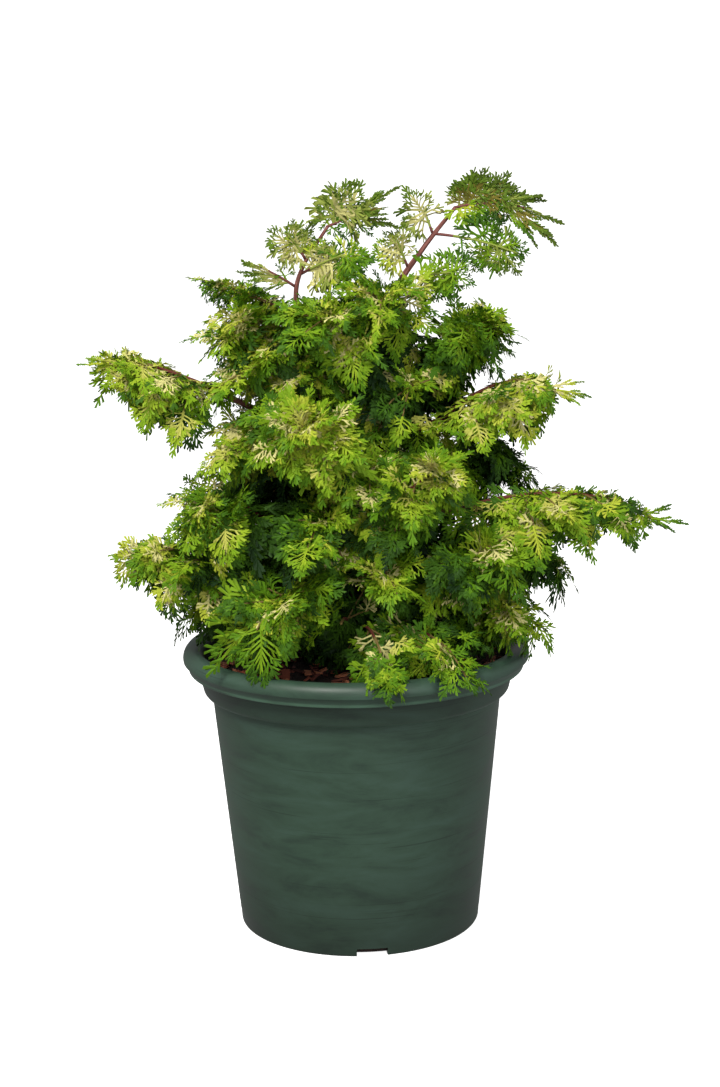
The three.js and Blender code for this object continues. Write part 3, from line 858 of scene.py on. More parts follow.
@dataclass
class Sprays:
    """Sprays as one row each. In a spray's own frame, in its lengths, u runs ahead, v across and w up."""

    roots: Array
    ways: Array
    ups: Array
    lengths: Array
    forms: Array
    inner: Array  # how near the trunk each is, from 1 at the trunk to 0 at the tip
    dealt: Array  # the palette that each is set to have, or -1
    fewest: int = 4
    most: int = 16
    tilt: float = 0.14  # radians by which a lobe tips up or down
    roll: float = 0.28
    heart: float = 0.42  # up to this far out a branchlet is in the spray's heart
    middle: float = 0.68
    rib_lag: float = 0.20  # how much further out a rib stays in its tone
    rachis_wide: float = 1.9
    rachis_rows: int = 5
    rachis_past: float = 0.04  # how far the rachis runs on past its last side lobe
    ridge: float = 0.7  # its height, in half widths
    weakest: float = 0.24  # how much less one side of a spray may reach
    kind_lengths: Pair = (13.5, 20.5)  # from these lengths a lobe is a middle or a long one

    def samples(self, size: float) -> Array:
        """Points by which a spray's place is judged: its tip and both ends of its rim, at a size.

        Args:
            size: the size, as a share of the sprays' own.

        Returns:
            The points, by spray and kind.
        """
        across = np.cross(self.ups, self.ways)
        far = (self.lengths * size)[:, None]
        ahead = self.roots + self.ways * far
        side = across * far * 0.45
        middle = self.roots + self.ways * far * 0.5
        return np.stack([ahead, middle + side, middle - side], 1)

    def kept(self, keep: Array, sizes: Array) -> "Sprays":
        """The sprays that found room, at their sizes."""
        return Sprays(self.roots[keep], self.ways[keep], self.ups[keep], (self.lengths * sizes)[keep],
                      self.forms[keep], self.inner[keep], self.dealt[keep])

    def trait(self, name: str) -> Array:
        """One size of its form for each spray."""
        return np.array([getattr(form.value, name) for form in Form])[self.forms]

    def place(self, points: Array, owners: Array, cups: Array, sags: Array) -> Array:
        """Sets points of the sprays' own frames in the plant: w loses the cup times v squared and the sag
        times u squared, and the frame's axes are the spray's way, the way across, and its up.

        Args:
            points: n corners.
            owners: which spray each belongs to.
            cups: for each spray.
            sags: for each spray.

        Returns:
            The corners in millimetres.
        """
        u, v, w = points.T
        w = w - cups[owners] * v**2 - sags[owners] * u**2
        across = np.cross(self.ups, self.ways)
        bent = u[:, None] * self.ways[owners] + v[:, None] * across[owners] + w[:, None] * self.ups[owners]
        return self.roots[owners] + bent * self.lengths[owners][:, None]

    def outness(self, points: Array, owners: Array) -> Array:
        """How far out points are: their distance from the root over the spray's reach in their direction.

        Args:
            points: the points, in the sprays' own directions.
            owners: each point's spray.

        Returns:
            The shares, 1 at the rim.
        """
        turned = np.minimum(np.abs(np.arctan2(points[:, 1], points[:, 0])) * 2 / math.pi, 1)
        first, last = self.trait("reach_first")[owners], self.trait("reach_last")[owners]
        return np.linalg.norm(points[:, :2], axis=1) / blend(last, first, turned)

    def rachises(self, bows: Array) -> tuple[Array, Array, Array]:
        """A ridged strip along each rachis, whose line is v = bow times u squared.

        Args:
            bows: how far each rachis bows to its side.

        Returns:
            The corners in the sprays' own frames, the spray that each belongs to, and the triangles.
        """
        n, rows = len(self.roots), self.rachis_rows
        u = np.linspace(0, 1, rows) * (self.trait("last")[:, None] + self.rachis_past)
        v = bows[:, None] * u**2
        half = self.rachis_wide / 2 / self.lengths[:, None] * blend(1.0, 0.6, np.linspace(0, 1, rows))
        edges = ((v + half, 0 * u), (v, self.ridge * half), (v - half, 0 * u))
        strip = np.stack([np.stack([u, across, up], -1) for across, up in edges], 2)
        i = 3 * np.arange(rows - 1)[:, None] + np.arange(2)
        faces = np.stack([i, i + 1, i + 4, i, i + 4, i + 3], -1).reshape(-1, 3)
        faces = faces[None] + 3 * rows * np.arange(n)[:, None, None]
        return strip.reshape(-1, 3), np.repeat(np.arange(n), 3 * rows), faces.reshape(-1, 3)

    def lobes(self, bows: Array, rng: Chance) -> dict[str, Array]:
        """Where each lobe stands: by turns left and right along the rachis, and one at its end. A side lobe's
        length takes its tip to the spray's reach in its direction.

        Args:
            bows: how far each rachis bows to its side.
            rng: the mass's chance.

        Returns:
            For each lobe: owner, root, heading and tilt and roll in radians, length, bend, and kind.
        """
        counts = np.clip(np.round(self.lengths / self.trait("crowding")), self.fewest, self.most).astype(int)
        owner = np.repeat(np.arange(len(counts)), counts + 1)
        k = np.arange(len(owner)) - np.repeat(np.cumsum(counts + 1) - counts - 1, counts + 1)
        total = len(owner)
        of = {name: self.trait(name)[owner] for name in SprayForm.__dataclass_fields__}
        count = counts[owner]
        end = k == count
        late = np.minimum(k / (count - 1), 1)
        side = np.where((k + rng.integers(2, size=len(counts))[owner]) % 2, 1, -1)
        weak = np.where(side > 0, *rng.uniform(0, self.weakest, (2, len(counts)))[:, owner])
        share = of["stalk"] + (of["last"] - of["stalk"]) * (k + 0.5 * rng.random(total)) / count
        share = np.where(end, of["last"], share)
        bow = bows[owner]
        root = np.stack([share, bow * share**2], 1)
        spread = np.radians(blend(of["spread_first"], of["spread_last"], late**0.9))
        angle = spread * rng.uniform(0.86, 1.14, total)
        along = np.arctan(2 * bow * share)
        heading = along + np.where(end, 0, side * angle)
        reach = blend(of["reach_first"], of["reach_last"], late) * rng.uniform(0.84, 1.06, total) * (1 - weak)
        mean = heading + side * of["curl"] * 0.5
        ahead = root[:, 0] * np.cos(mean) + root[:, 1] * np.sin(mean)
        long = np.sqrt(np.maximum(reach**2 - np.sum(root**2, 1) + ahead**2, 0)) - ahead
        long = np.where(end, rng.uniform(0.94, 1.06, total) - of["last"], np.maximum(long, 0.2))
        kind = np.digitize(long * self.lengths[owner], self.kind_lengths)
        for form, lobe in ((Form.PLUME, Lobe.SHOOT), (Form.SHADE, Lobe.BROAD), (Form.CORAL, Lobe.CORAL)):
            kind = np.where(self.forms[owner] == FORMS.index(form), LOBES.index(lobe), kind)
        return {
            "owner": owner,
            "root": root,
            "heading": heading,
            "length": long,
            "bend": np.where(end, 0, side * of["curl"] * (1.15 - late)),
            "tilt": rng.normal(0, self.tilt, total),
            "roll": rng.normal(0, self.roll, total),
            "kind": kind,
        }


# ---- the masses ----
FRONT = unit(np.array([0.0, -1.0, 0.2]))  # the way that a spray on a leader faces


@dataclass
class Mass:
    """One mass of foliage: a stem that ends in a spray, and side sprays by turns left and right."""

    name: str
    on: str  # the limb that it leaves, or the limb whose tip carries it
    tip: Place
    lift: float
    wide: float
    pairs: int = 5
    droop: float = 0.9
    # its foliage's colour, and in part painted light and shade
    mood: Mood = Mood.GREEN
    at: float | None = None  # the height at which it leaves a stem
    face: bool = False  # all its sprays are set one by one, and lie flat to the front
    arm: bool = False  # no sprays rise above its stem
    crest: int = 5  # sprays over its stem
    crest_rise: float = 0.5
    fill: int = 8  # sprays that hang under its twigs and its stem
    taper: float = 0.0  # how much smaller its sprays are at its tip
    shade: float = 0.85  # the share of its sprays that are dark at the trunk: older foliage, and painted shade inside the crown
    woody: int = 12  # rings of its stem that are woody
    last_wide: float = 0.85  # what its last spray takes up, in widths, and in shares of its path at the most
    last_most: float = 0.45
    path: Arch | None = None
    share: float = 1.0  # how much of its path is stem
    points: Array | None = None

    def set_off(self, limbs: Limbs) -> None:
        """Finds the stem: from its bough's tip or its trunk to where its last spray starts.

        Args:
            limbs: the limbs that bear the masses.
        """
        tip = np.array(self.tip, float)
        if self.on.endswith("_tip"):
            stem = limbs.stems[self.on.removesuffix("_tip")].path
            root = stem.point(1)[0] + stem.tangent(1)[0] * limbs.gap
        elif self.at is not None:
            root, _ = limbs.stems[self.on].leave(self.at, tip, self.lift, limbs.gap)
        else:
            arch = limbs.arches[self.on]
            root = arch.tip + arch.tangent(1)[0] * limbs.gap
        self.path = Arch(root, tip, self.lift)
        self.share = 1 - min(self.last_most, self.wide * self.last_wide / np.linalg.norm(tip - root))
        self.points = self.path.point(self.share * np.arange(5) / 4)


def front_masses() -> list[Mass]:
    """The masses that the front shows, in the order of their seeds.

    Returns:
        The masses.
    """
    lead = {"face": True, "woody": 3}
    arm = {"arm": True, "shade": 0.3}
    high = {"crest": 12, "crest_rise": 0.9}
    low = {"crest": 10, "crest_rise": 0.9}
    # the moods are the foliage's colour, and in part painted light and shade: darker low under the crown,
    # brighter on outer masses
    bright, mixed, green, dark = Mood
    return [
        Mass("top_spray", "trunk_tip", (174, -26, 574), 10, 27, face=True),
        Mass("nodding_spray", "trunk", (150, -44, 548), 4, 25, at=572, **lead),
        Mass("leader_right", "trunk", (97, -36, 543), 1, 24, at=537, **lead),
        Mass("leader_left", "trunk", (30, -26, 587), 0, 30, at=545, **lead),
        Mass("leader_top_left", "trunk", (53, -14, 609), 0, 22, at=571, **lead),
        Mass("left_top_spray", "second_stem_tip", (34, -26, 600), 0, 24, face=True),
        Mass("left_fan", "second_stem", (-58, -34, 580), 4, 25, at=553, **lead),
        Mass("left_thin_spray", "second_stem", (-94, -36, 556), 3, 18, at=532, face=True),
        Mass("left_inner_fan", "second_stem", (12, -46, 562), 2, 26, at=543, **lead),
        Mass("upper_left_tip", "second_stem", (-127, -8, 541), 4, 31, 4, 0.25, green, at=506, fill=16),
        Mass("upper_left", "second_stem", (-126, -50, 500), 12, 55, 5, 0.6, bright, at=482, fill=30,
             shade=0.3, **high),
        Mass("upper_front_left", "trunk", (-46, -104, 498), 26, 55, 5, 0.8, mixed, at=462, shade=0.2, **high),
        Mass("crown_left", "second_stem", (-16, -54, 524), 4, 34, 4, 0.3, mixed, at=490, shade=0.4,
             crest=14, crest_rise=1.1),
        Mass("upper_front", "trunk", (22, -86, 508), 22, 51, 5, 0.9, green, at=494, shade=0.5, **high),
        Mass("upper_right", "upper_right_bough", (127, -26, 484), 20, 55, 5, 0.9, green, fill=24, crest=14),
        Mass("left_arm", "left_arm_bough", (-208, -42, 487), 3, 50, 6, 0.7, bright, fill=24, **arm),
        Mass("left_crest", "second_stem", (-116, -72, 460), 12, 50, 5, 0.7, bright, at=462, fill=16,
             shade=0.3, **high),
        Mass("mid_left", "trunk", (-118, -84, 410), 22, 57, 5, 0.8, bright, at=380, fill=34,
             shade=0.6, **low),
        Mass("front_upper", "front_upper_bough", (-46, -136, 424), 16, 55, 5, 0.9, bright, shade=0.0,
             crest=16, crest_rise=1.3),
        Mass("centre", "trunk", (14, -128, 384), 24, 49, 5, 1, mixed, at=346, **low),
        Mass("front_right", "front_centre_bough", (86, -122, 396), 14, 53, 5, 0.9, mixed, fill=20),
        Mass("centre_right", "trunk", (72, -90, 446), 20, 51, 5, 0.9, mixed, at=420, shade=0.5),
        Mass("right_arm", "right_arm_bough", (180, -44, 444), 21, 50, 6, 0.7, bright, fill=24, **arm),
        Mass("right_dark", "trunk", (154, 4, 384), 20, 55, 5, 0.9, dark, at=358, fill=70, shade=0.6),
        Mass("left_shoulder", "mid_left_bough", (-145, -76, 346), 16, 57, 5, 0.8, green, taper=0.15, fill=64),
        Mass("front_left", "trunk", (-42, -140, 340), 24, 55, 5, 0.9, green, at=312, fill=20, **low),
        Mass("front_low", "trunk", (38, -142, 304), 26, 55, 5, 0.9, green, at=264, shade=1),
        Mass("right_mid", "right_mid_bough", (138, -108, 330), 14, 53, 5, 0.9, green, fill=24,
             crest=12, crest_rise=1.0),
        Mass("right_low_arm", "right_low_arm_bough", (256, -58, 346), 14, 51, 7, 0.7, green, fill=30,
             taper=0.5, **arm),
        Mass("left_low_arm", "left_low_arm_bough", (-190, -58, 331), 11, 50, 5, 0.7, mixed, fill=30, **arm),
        Mass("low_left", "trunk", (-150, -30, 274), 18, 53, 5, 0.9, dark, at=254, fill=30),
        Mass("low_front_left", "low_front_left_bough", (-84, -134, 268), 18, 57, 5, 1, green, fill=24,
             shade=1),
        Mass("low_front", "trunk", (-14, -138, 268), 16, 47, 5, 1, dark, at=246, shade=1),
        Mass("rim_front", "trunk", (26, -160, 238), 26, 42, 5, 0.8, dark, at=241, crest=14),
        Mass("rim_front_right", "trunk", (96, -146, 234), 26, 49, 5, 0.8, green, at=243, crest=12, shade=0.7),
        Mass("low_right", "trunk", (160, -62, 266), 20, 54, 5, 0.8, green, at=250, fill=50, shade=0.6),
        Mass("right_skirt", "trunk", (184, -18, 308), 20, 56, 5, 0.8, green, at=300, fill=80, shade=0.5),
    ]


def set_sprays() -> dict[str, tuple[tuple[float, float, float, Form, Palette], ...]]:
    """The sprays that are set one by one: all of them on the leaders, and over the rim and on the right some
    that hang beside those of the rule.

    Returns:
        For each mass its sprays: each one's place on the stem in shares, its angle from level in degrees as
        the front sees it, its length, its form and its palette.
    """
    fan, coral, plume = Form.FAN, Form.CORAL, Form.PLUME
    ivory, gold, lemon, fresh, frosted, leafy, shade, dusky, sandy, sage, bronzed = Palette
    placed = {
        "leader_top_left": (
            (0.35, 160, 23, coral, sandy), (0.35, 115, 34, coral, sandy), (0.35, 70, 19, coral, sage),
            (0.05, 45, 18, fan, sage),
        ),
        "leader_left": (
            (0.1, 175, 30, coral, gold), (0.1, -150, 27, fan, leafy), (0.1, 140, 22, coral, sandy),
            (0.35, 165, 29, coral, ivory), (0.45, 125, 24, coral, sandy), (0.35, 50, 27, coral, frosted),
            (0.45, 85, 24, coral, sandy),
        ),
        "leader_right": (
            (0, 5, 53, coral, sandy), (0, 15, 47, coral, leafy), (0.3, -45, 23, coral, sandy),
            (0.2, -25, 35, coral, leafy), (0.1, 35, 34, coral, sage), (0.05, 65, 21, fan, sage),
            (0.55, -15, 29, fan, frosted), (0.45, 60, 28, coral, sage), (0.6, 35, 32, coral, leafy),
            (0.8, 10, 30, coral, leafy), (0.9, -30, 26, coral, leafy), (0.7, -55, 26, fan, leafy),
        ),
        "nodding_spray": (
            (0.55, -10, 50, coral, leafy), (0.65, -30, 37, coral, sage), (0.8, 15, 21, coral, leafy),
            (0.55, -95, 24, coral, sage), (0.65, -90, 25, coral, leafy), (0.75, -75, 24, coral, sage),
            (0.3, -85, 17, coral, shade), (0.45, 20, 30, coral, shade), (0.5, -5, 20, coral, leafy),
            (0.5, 45, 32, coral, shade),
        ),
        "top_spray": (
            (0.05, 125, 19, fan, sage), (0.05, 95, 22, fan, sandy), (0.1, 75, 29, fan, sage),
            (0.15, 65, 34, fan, bronzed), (0.15, 55, 36, fan, bronzed), (0.25, 35, 28, fan, sage),
            (0.3, 35, 35, fan, bronzed), (0.3, 20, 35, fan, bronzed), (0.4, 15, 33, fan, bronzed),
            (0.45, 10, 40, plume, sage), (0.45, -5, 43, plume, sage), (0.5, -10, 54, plume, sage),
            (0.6, -35, 59, plume, bronzed), (0.6, -50, 50, plume, sage), (0.55, -55, 36, plume, leafy),
            (0.05, -15, 23, fan, lemon), (0, -45, 25, fan, fresh), (0, -80, 20, fan, lemon),
            (0.3, -40, 24, coral, shade), (0.25, -55, 28, coral, shade),
        ),
        "left_top_spray": (
            (0.15, 90, 32, coral, sage), (0.15, 70, 38, coral, sandy), (0.2, 40, 40, coral, sandy),
            (0.05, 125, 19, coral, leafy), (0.15, 115, 24, coral, sage), (0.6, 35, 45, plume, sage),
            (0.85, 10, 24, plume, bronzed), (0.65, 35, 31, plume, leafy), (0.45, 5, 34, plume, bronzed),
            (0.5, -5, 39, plume, bronzed), (0.4, 15, 21, fan, bronzed), (0.4, 50, 22, fan, leafy),
            (0.45, -75, 18, coral, shade), (0.55, -40, 25, coral, shade), (0.05, -40, 16, fan, shade),
        ),
        "left_fan": (
            (0.15, 145, 36, coral, sandy), (0.2, 175, 25, coral, sandy), (0.1, 140, 25, coral, ivory),
            (0.25, 115, 28, coral, sandy), (0.2, 85, 26, coral, sage), (0.2, 55, 23, coral, sage),
        ),
        "left_thin_spray": (
            (0.3, 166, 44, plume, sandy), (0.3, 174, 36, plume, sage), (0.25, 178, 35, plume, sandy),
            (0.2, -176, 28, plume, sandy), (0.1, -178, 33, plume, sandy), (0.1, -170, 22, plume, sage),
            (0.15, 110, 17, coral, leafy),
        ),
        "left_inner_fan": (
            (0.05, 45, 31, coral, ivory), (0.1, 25, 35, coral, ivory), (0.1, 15, 44, coral, sandy),
            (0.1, 0, 34, coral, ivory), (0.1, 65, 19, coral, sandy), (0.25, 20, 34, coral, sandy),
            (0.35, 55, 26, coral, sandy), (0.45, -5, 32, coral, ivory), (0.5, 30, 28, coral, sandy),
            (0.7, 35, 22, coral, shade), (0.95, 10, 26, coral, gold), (1, -15, 36, fan, leafy),
            (1, -40, 27, fan, shade),
        ),
    }
    hung = {
        "low_front_left": (
            (1, -120, 70, lemon), (1, -135, 70, fresh), (1, -110, 62, leafy), (0.85, -95, 62, frosted),
            (0.95, -80, 60, leafy), (0.8, -60, 56, shade), (0.6, -70, 60, leafy), (0.4, -90, 60, shade),
            (0.5, -110, 60, shade), (0.7, -125, 62, shade),
        ),
        "low_left": (
            (1, -70, 62, lemon), (1, -95, 54, leafy), (0.9, -60, 60, leafy), (0.8, -85, 56, shade),
            (0.75, -55, 60, shade), (0.6, -70, 56, dusky), (0.5, -50, 56, dusky), (0.65, -40, 56, dusky),
            (1, -120, 50, shade), (0.9, -110, 56, shade), (0.95, -140, 46, shade),
        ),
        "rim_front": (
            (0.9, -150, 42, fresh), (0.95, -125, 38, lemon), (0.8, -170, 44, shade), (0.9, -50, 42, frosted),
            (0.7, -75, 44, frosted), (0.6, -110, 44, shade), (0.5, -60, 42, shade),
        ),
        "rim_front_right": (
            (0.9, -150, 52, shade), (0.8, -125, 54, frosted), (0.65, -105, 52, frosted),
            (0.55, -135, 52, frosted), (0.9, -60, 44, leafy), (0.95, -25, 40, leafy), (0.8, -85, 46, fresh),
            (0.4, -95, 48, shade),
        ),
        "right_low_arm": (
            (0, -100, 52, gold), (0.05, -75, 54, ivory), (0.15, -90, 50, ivory), (0.25, -60, 48, gold),
            (0.35, -85, 46, ivory), (0.45, -65, 40, ivory), (0, -130, 50, leafy), (0.1, -115, 54, shade),
            (0.3, -110, 50, shade), (0.5, -95, 44, leafy), (0.45, -110, 50, shade), (0.55, -80, 46, shade),
            (0.6, -100, 46, leafy), (0.65, -70, 40, leafy),
        ),
        "right_skirt": (
            (1, -20, 40, leafy), (1, -50, 50, leafy), (1, -80, 54, leafy), (0.8, -70, 56, shade),
            (0.8, -40, 54, shade), (0.6, -60, 56, shade), (0.6, -90, 56, leafy),
        ),
        "low_front": (
            (0.9, -100, 46, shade), (0.9, -130, 46, shade), (0.7, -140, 46, dusky), (0.5, -150, 46, dusky),
        ),
    }
    for name, rows in hung.items():
        placed[name] = tuple((place, angle, long, fan, palette) for place, angle, long, palette in rows)
    return placed


@dataclass(frozen=True)
class Ring:
    """A ring of masses round the back, which is finished like the front."""

    name: str
    at: float
    azimuths: Row
    reach: float
    height: float
    lift: float
    wide: float
    droop: float
    sway: Row = (0, 26, -12)  # how much further out each mass reaches; it rises by half of that
    step: float = 7.0  # up the trunk, from one mass to the next
    pairs: int = 5
    fill: int = 36

    def masses(self) -> list[Mass]:
        """The ring's masses, from the right round to the left.

        Returns:
            One mass for each azimuth.
        """
        made = []
        for i, azimuth in enumerate(self.azimuths):
            reach, turn = self.reach + self.sway[i], math.radians(azimuth)
            tip = (reach * math.cos(turn), reach * math.sin(turn), self.height + self.sway[i] / 2)
            name, at = f"{self.name}_{i + 1}", self.at + self.step * i
            made.append(
                Mass(name, "trunk", tip, self.lift, self.wide, self.pairs, self.droop, at=at, fill=self.fill)
            )
        return made


@dataclass(frozen=True)
class Hollow:
    """A gap between boughs: a tunnel from the front that ends at its centre. Sprays behind it are dealt the
    darkest palette, painted shade in the gap. Where the centre is behind the plant, the gap shows the sky."""

    centre: Place
    radius: float


HOLLOWS = tuple(Hollow(centre, radius) for centre, radius in (
    ((-12, -60, 254), 19), ((-3, -60, 276), 16), ((-27, -70, 243), 14), ((24, -60, 270), 13),
    ((80, -60, 338), 13), ((-66, -60, 371), 15), ((59, -70, 282), 12), ((-77, -70, 250), 9),
    ((99, -60, 335), 9), ((64, -30, 437), 15), ((80, 260, 497), 9), ((67, 260, 502), 5),
    ((93, 260, 495), 6), ((128, 260, 418), 10), ((139, 260, 426), 6), ((-127, 260, 437), 5),
    ((18, -70, 439), 10), ((34, -60, 483), 9), ((17, -95, 255), 11), ((84, -90, 257), 9),
    ((16, 260, 395), 3), ((28, 260, 398), 3),
))
BACK_RINGS = (
    Ring("back_low", 262, (32, 88, 146), 150, 274, 24, 60, 0.9),
    Ring("back_mid", 338, (58, 116, 168), 144, 362, 26, 58, 0.9),
    Ring("back_high", 412, (38, 96, 152), 112, 452, 28, 54, 0.9),
)


@dataclass(frozen=True)
class TwigRule:
    """The source's rule for the side twigs of a stem. Their reach is in widths of the mass."""

    first: float = 0.25  # the share of the stem at which they start
    span: float = 0.72  # the share of it that they take up
    angles: Pair = (75, 38)  # degrees from the stem, of the first and the last
    hang: Row = (1.4, -0.4, 0.5)  # how far a pair hangs, by turns
    arm_rise: float = 0.1  # how much of a rise the twigs of an arm keep
    sway: float = 0.2  # how far chance changes the hang
    reach: float = 1.12
    reach_fall: float = 0.42  # how much less the last ones reach
    reach_least: float = 0.9  # of that reach, before chance adds to it
    reach_spread: float = 0.2
    end_droop: float = 0.35
    end_reach: float = 1.05
    end_room: float = 1.1  # how far the last spray may pass the mass's tip


@dataclass
class Crown:
    """The masses of foliage: their stems, their twigs and their sprays. Most pairs of numbers are the least
    and the most that chance gives. A spray's size is in widths of its mass or in reaches of its twig."""

    limbs: Limbs
    rule: TwigRule = TwigRule()
    seed: int = 101
    leaf_seed: int = 1000
    variants: int = 5  # shapes of each kind of lobe
    by_hand: dict[str, tuple] = field(default_factory=set_sprays)
    masses: list[Mass] = field(default_factory=list)

    # the room that sprays keep to
    space_slack: float = 0.75
    limb_margin: float = 1.4
    soil_margin: float = 1.2
    rim_radius: Pair = (123.0, 144.5)
    rim_height: float = 238.5
    arm_margin: float = 6.0  # how far the sprays of an arm may rise over its stem
    sizes: Row = (0.66, 0.82, 1.0)  # a spray takes the last of these at which it has room

    # the sprays of a side twig
    outward_lean: float = 0.9
    outward_from: float = 0.3  # the share of the trunk that a spray's upper side leans away from
    twig_share: float = 0.5  # how much of a side twig's reach is bare twig
    twig_droop: float = 0.14
    end_reach: float = 1.1
    end_size: Pair = (0.95, 1.1)
    plume_turns: Row = (-0.5, -0.25, 0.3)  # radians up from an arm's last plume
    plume_size: Pair = (0.8, 1.0)
    plume_level: Place = (1, 1, 0.25)
    side_sprays: tuple = (  # place on the twig, degrees from it, and size
        (0.2, 62.0, 0.60), (0.42, 56.0, 0.60), (0.62, 50.0, 0.58), (0.84, 40.0, 0.54),
    )
    side_turn: float = 9  # degrees to either side
    side_rise: Pair = (-0.3, 0.25)
    arm_rise: Pair = (-0.7, -0.1)
    side_size: Pair = (0.88, 1.12)
    side_inner: float = 0.1  # how much further in they count as being than the twig's end

    # the sprays that are set one by one
    set_half: float = 0.5  # the share of the stem up to which they lean well to the front
    near_lean: Pair = (0.25, 0.4)
    far_lean: Pair = (-0.1, 0.2)
    set_size: Pair = (1.0, 1.06)
    set_twig: float = 0.12  # how long its own twig is, in lengths of the spray

    # the sprays straight on a stem
    inner_places: Row = (0.05, 0.1, 0.16, 0.22, 0.29, 0.36, 0.45, 0.55)
    bough_places: Row = (0.5, 0.62, 0.74, 0.85, 0.95)
    bough_out: Pair = (-0.1, 0.5)  # how far out those on a bough, and on an arm's, count as being
    shade_within: float = 0.5  # the share of the stem up to which they are old, shaded ones
    inner_turn: Pair = (58, 82)  # degrees from the stem
    inner_hang: Pair = (-0.1, 1.3)
    inner_size: Pair = (0.85, 1.1)
    fan_size: Pair = (0.62, 0.8)
    crest_places: Pair = (0.3, 0.9)
    crest_side: float = 0.9
    crest_least: float = 0.15
    crest_size: Pair = (0.55, 0.7)

    # the sprays under a mass: what comes second is for a mass whose fill is more than light
    light_fill: int = 8
    hang_from: Pair = (0.4, 0.5)  # the share of the stem
    hang_down: tuple[Pair, ...] = ((0.2, 1.1), (0.2, 1.8))
    hang_size: tuple[Pair, ...] = ((0.5, 0.7), (0.5, 0.95))
    hang_along: float = 0.7
    hang_side: float = 0.8
    # the sprays under a mass count as partway in, so some are dark: painted shade under the mass
    hang_inner: float = 0.55
    stem_taper: float = 0.7  # how much of the taper those on the stem take

    # how palettes are dealt
    wave: float = 0.04  # radians a millimetre, of the slow waves
    wave_chance: float = 0.9
    young_and_lit_tips: float = 1.5  # how much likelier the light palettes are at a mass's tip than at the trunk: younger foliage there, and painted shade towards the trunk
    deep: float = 1.2  # from this far in a spray has the darkest palette, painted shade: only sprays behind a hollow are so far in; 1 is at the trunk, 0 at the tip
    behind: float = 1.5  # how far in a spray behind a hollow counts as being, so that it takes the darkest palette: painted shade in the gap
    dark_from: float = 0.3  # from this far in some are dark, and more of them further in: older foliage, and painted shade inside the crown
    dark_gain: float = 1.6

    # how sprays and twigs are shaped
    roll: float = 0.45  # radians to either side
    flat_roll: float = 0.5  # how much of it the sprays of an arm or a leader have
    bow: float = 0.2
    cup: Pair = (0.0, 0.5)
    sag: Pair = (0.05, 0.6)
    face_sag: float = 0.2  # how much of it the sprays of a leader have
    ragged: float = 0.08  # how far the zones of colour vary, in reaches of the spray
    stem_radius: Pair = (1.8, 0.9)  # at the root and the tip
    face_radius: Pair = (1.2, 0.6)
    twig_radius: Pair = (0.85, 0.55)
    stem_rings: int = 16
    stem_sides: int = 8
    twig_sides: int = 6
    sunk: float = 1.2  # how deep a stem goes into its limb's bark
    steep: float = 0.8  # the rise from which a tube's ring starts at its side and not on top

    def __post_init__(self) -> None:
        """Lists the masses, finds their stems, and draws the lobes' shapes."""
        self.masses = front_masses() + [m for ring in BACK_RINGS for m in ring.masses()]
        for mass in self.masses:
            mass.set_off(self.limbs)
        self.shapes = [
            [LobeShape(lobe.value, 10 * kind + i).build() for i in range(self.variants)]
            for kind, lobe in enumerate(Lobe)
        ]
        stems = np.stack([m.points for m in self.masses])
        self.segments = np.stack([stems[:, :-1], stems[:, 1:]], 2)
        self.widths = np.array([m.wide for m in self.masses])
        limbs = [a.point(np.linspace(0, 1, 5)) for a in self.limbs.arches.values()]
        trunks = [s.path.point(np.linspace(0, 1, 20)) for s in self.limbs.stems.values()]
        lines = [np.stack([p[:-1], p[1:]], 1) for p in limbs + trunks]
        self.limb_lines = np.concatenate(lines)
        radii = [b.radius for b in self.limbs.boughs] + [s.radii[2] for s in self.limbs.stems.values()]
        self.limb_radii = np.concatenate([np.full(len(l), r) for l, r in zip(lines, radii)])

    @staticmethod
    def distances(points: Array, segments: Array) -> Array:
        """How far each point is from each segment: from its foot, held between the segment's ends.

        Args:
            points: n points.
            segments: any array of segments, each two points.

        Returns:
            An array of n by the shape of the segments.
        """
        a, ab = segments[..., 0, :], segments[..., 1, :] - segments[..., 0, :]
        to = points[(slice(None),) + (None,) * (segments.ndim - 2)] - a
        t = np.clip(np.sum(to * ab, -1) / np.sum(ab * ab, -1), 0, 1)
        return np.linalg.norm(to - ab * t[..., None], axis=-1)

    def keeps_to_space(self, points: Array, number: int) -> Array:
        """Whether each point is nearer to its own mass's stem than to any other's, by their widths, above the
        soil or the rim, and clear of the limbs.

        Args:
            points: the points.
            number: which mass they belong to.

        Returns:
            True for each point that keeps to the mass's space.
        """
        away = self.distances(points, self.segments).min(-1) / self.widths
        own = away[:, number] - self.space_slack
        away[:, number] = np.inf
        radius = np.hypot(points[:, 0], points[:, 1])
        over_rim = (radius > self.rim_radius[0]) & (radius < self.rim_radius[1])
        floor = np.where(over_rim, self.rim_height, self.limbs.soil_top + self.soil_margin)
        clear = (self.distances(points, self.limb_lines) > self.limb_radii + self.limb_margin).all(-1)
        return (own <= away.min(-1)) & (points[:, 2] > floor) & clear

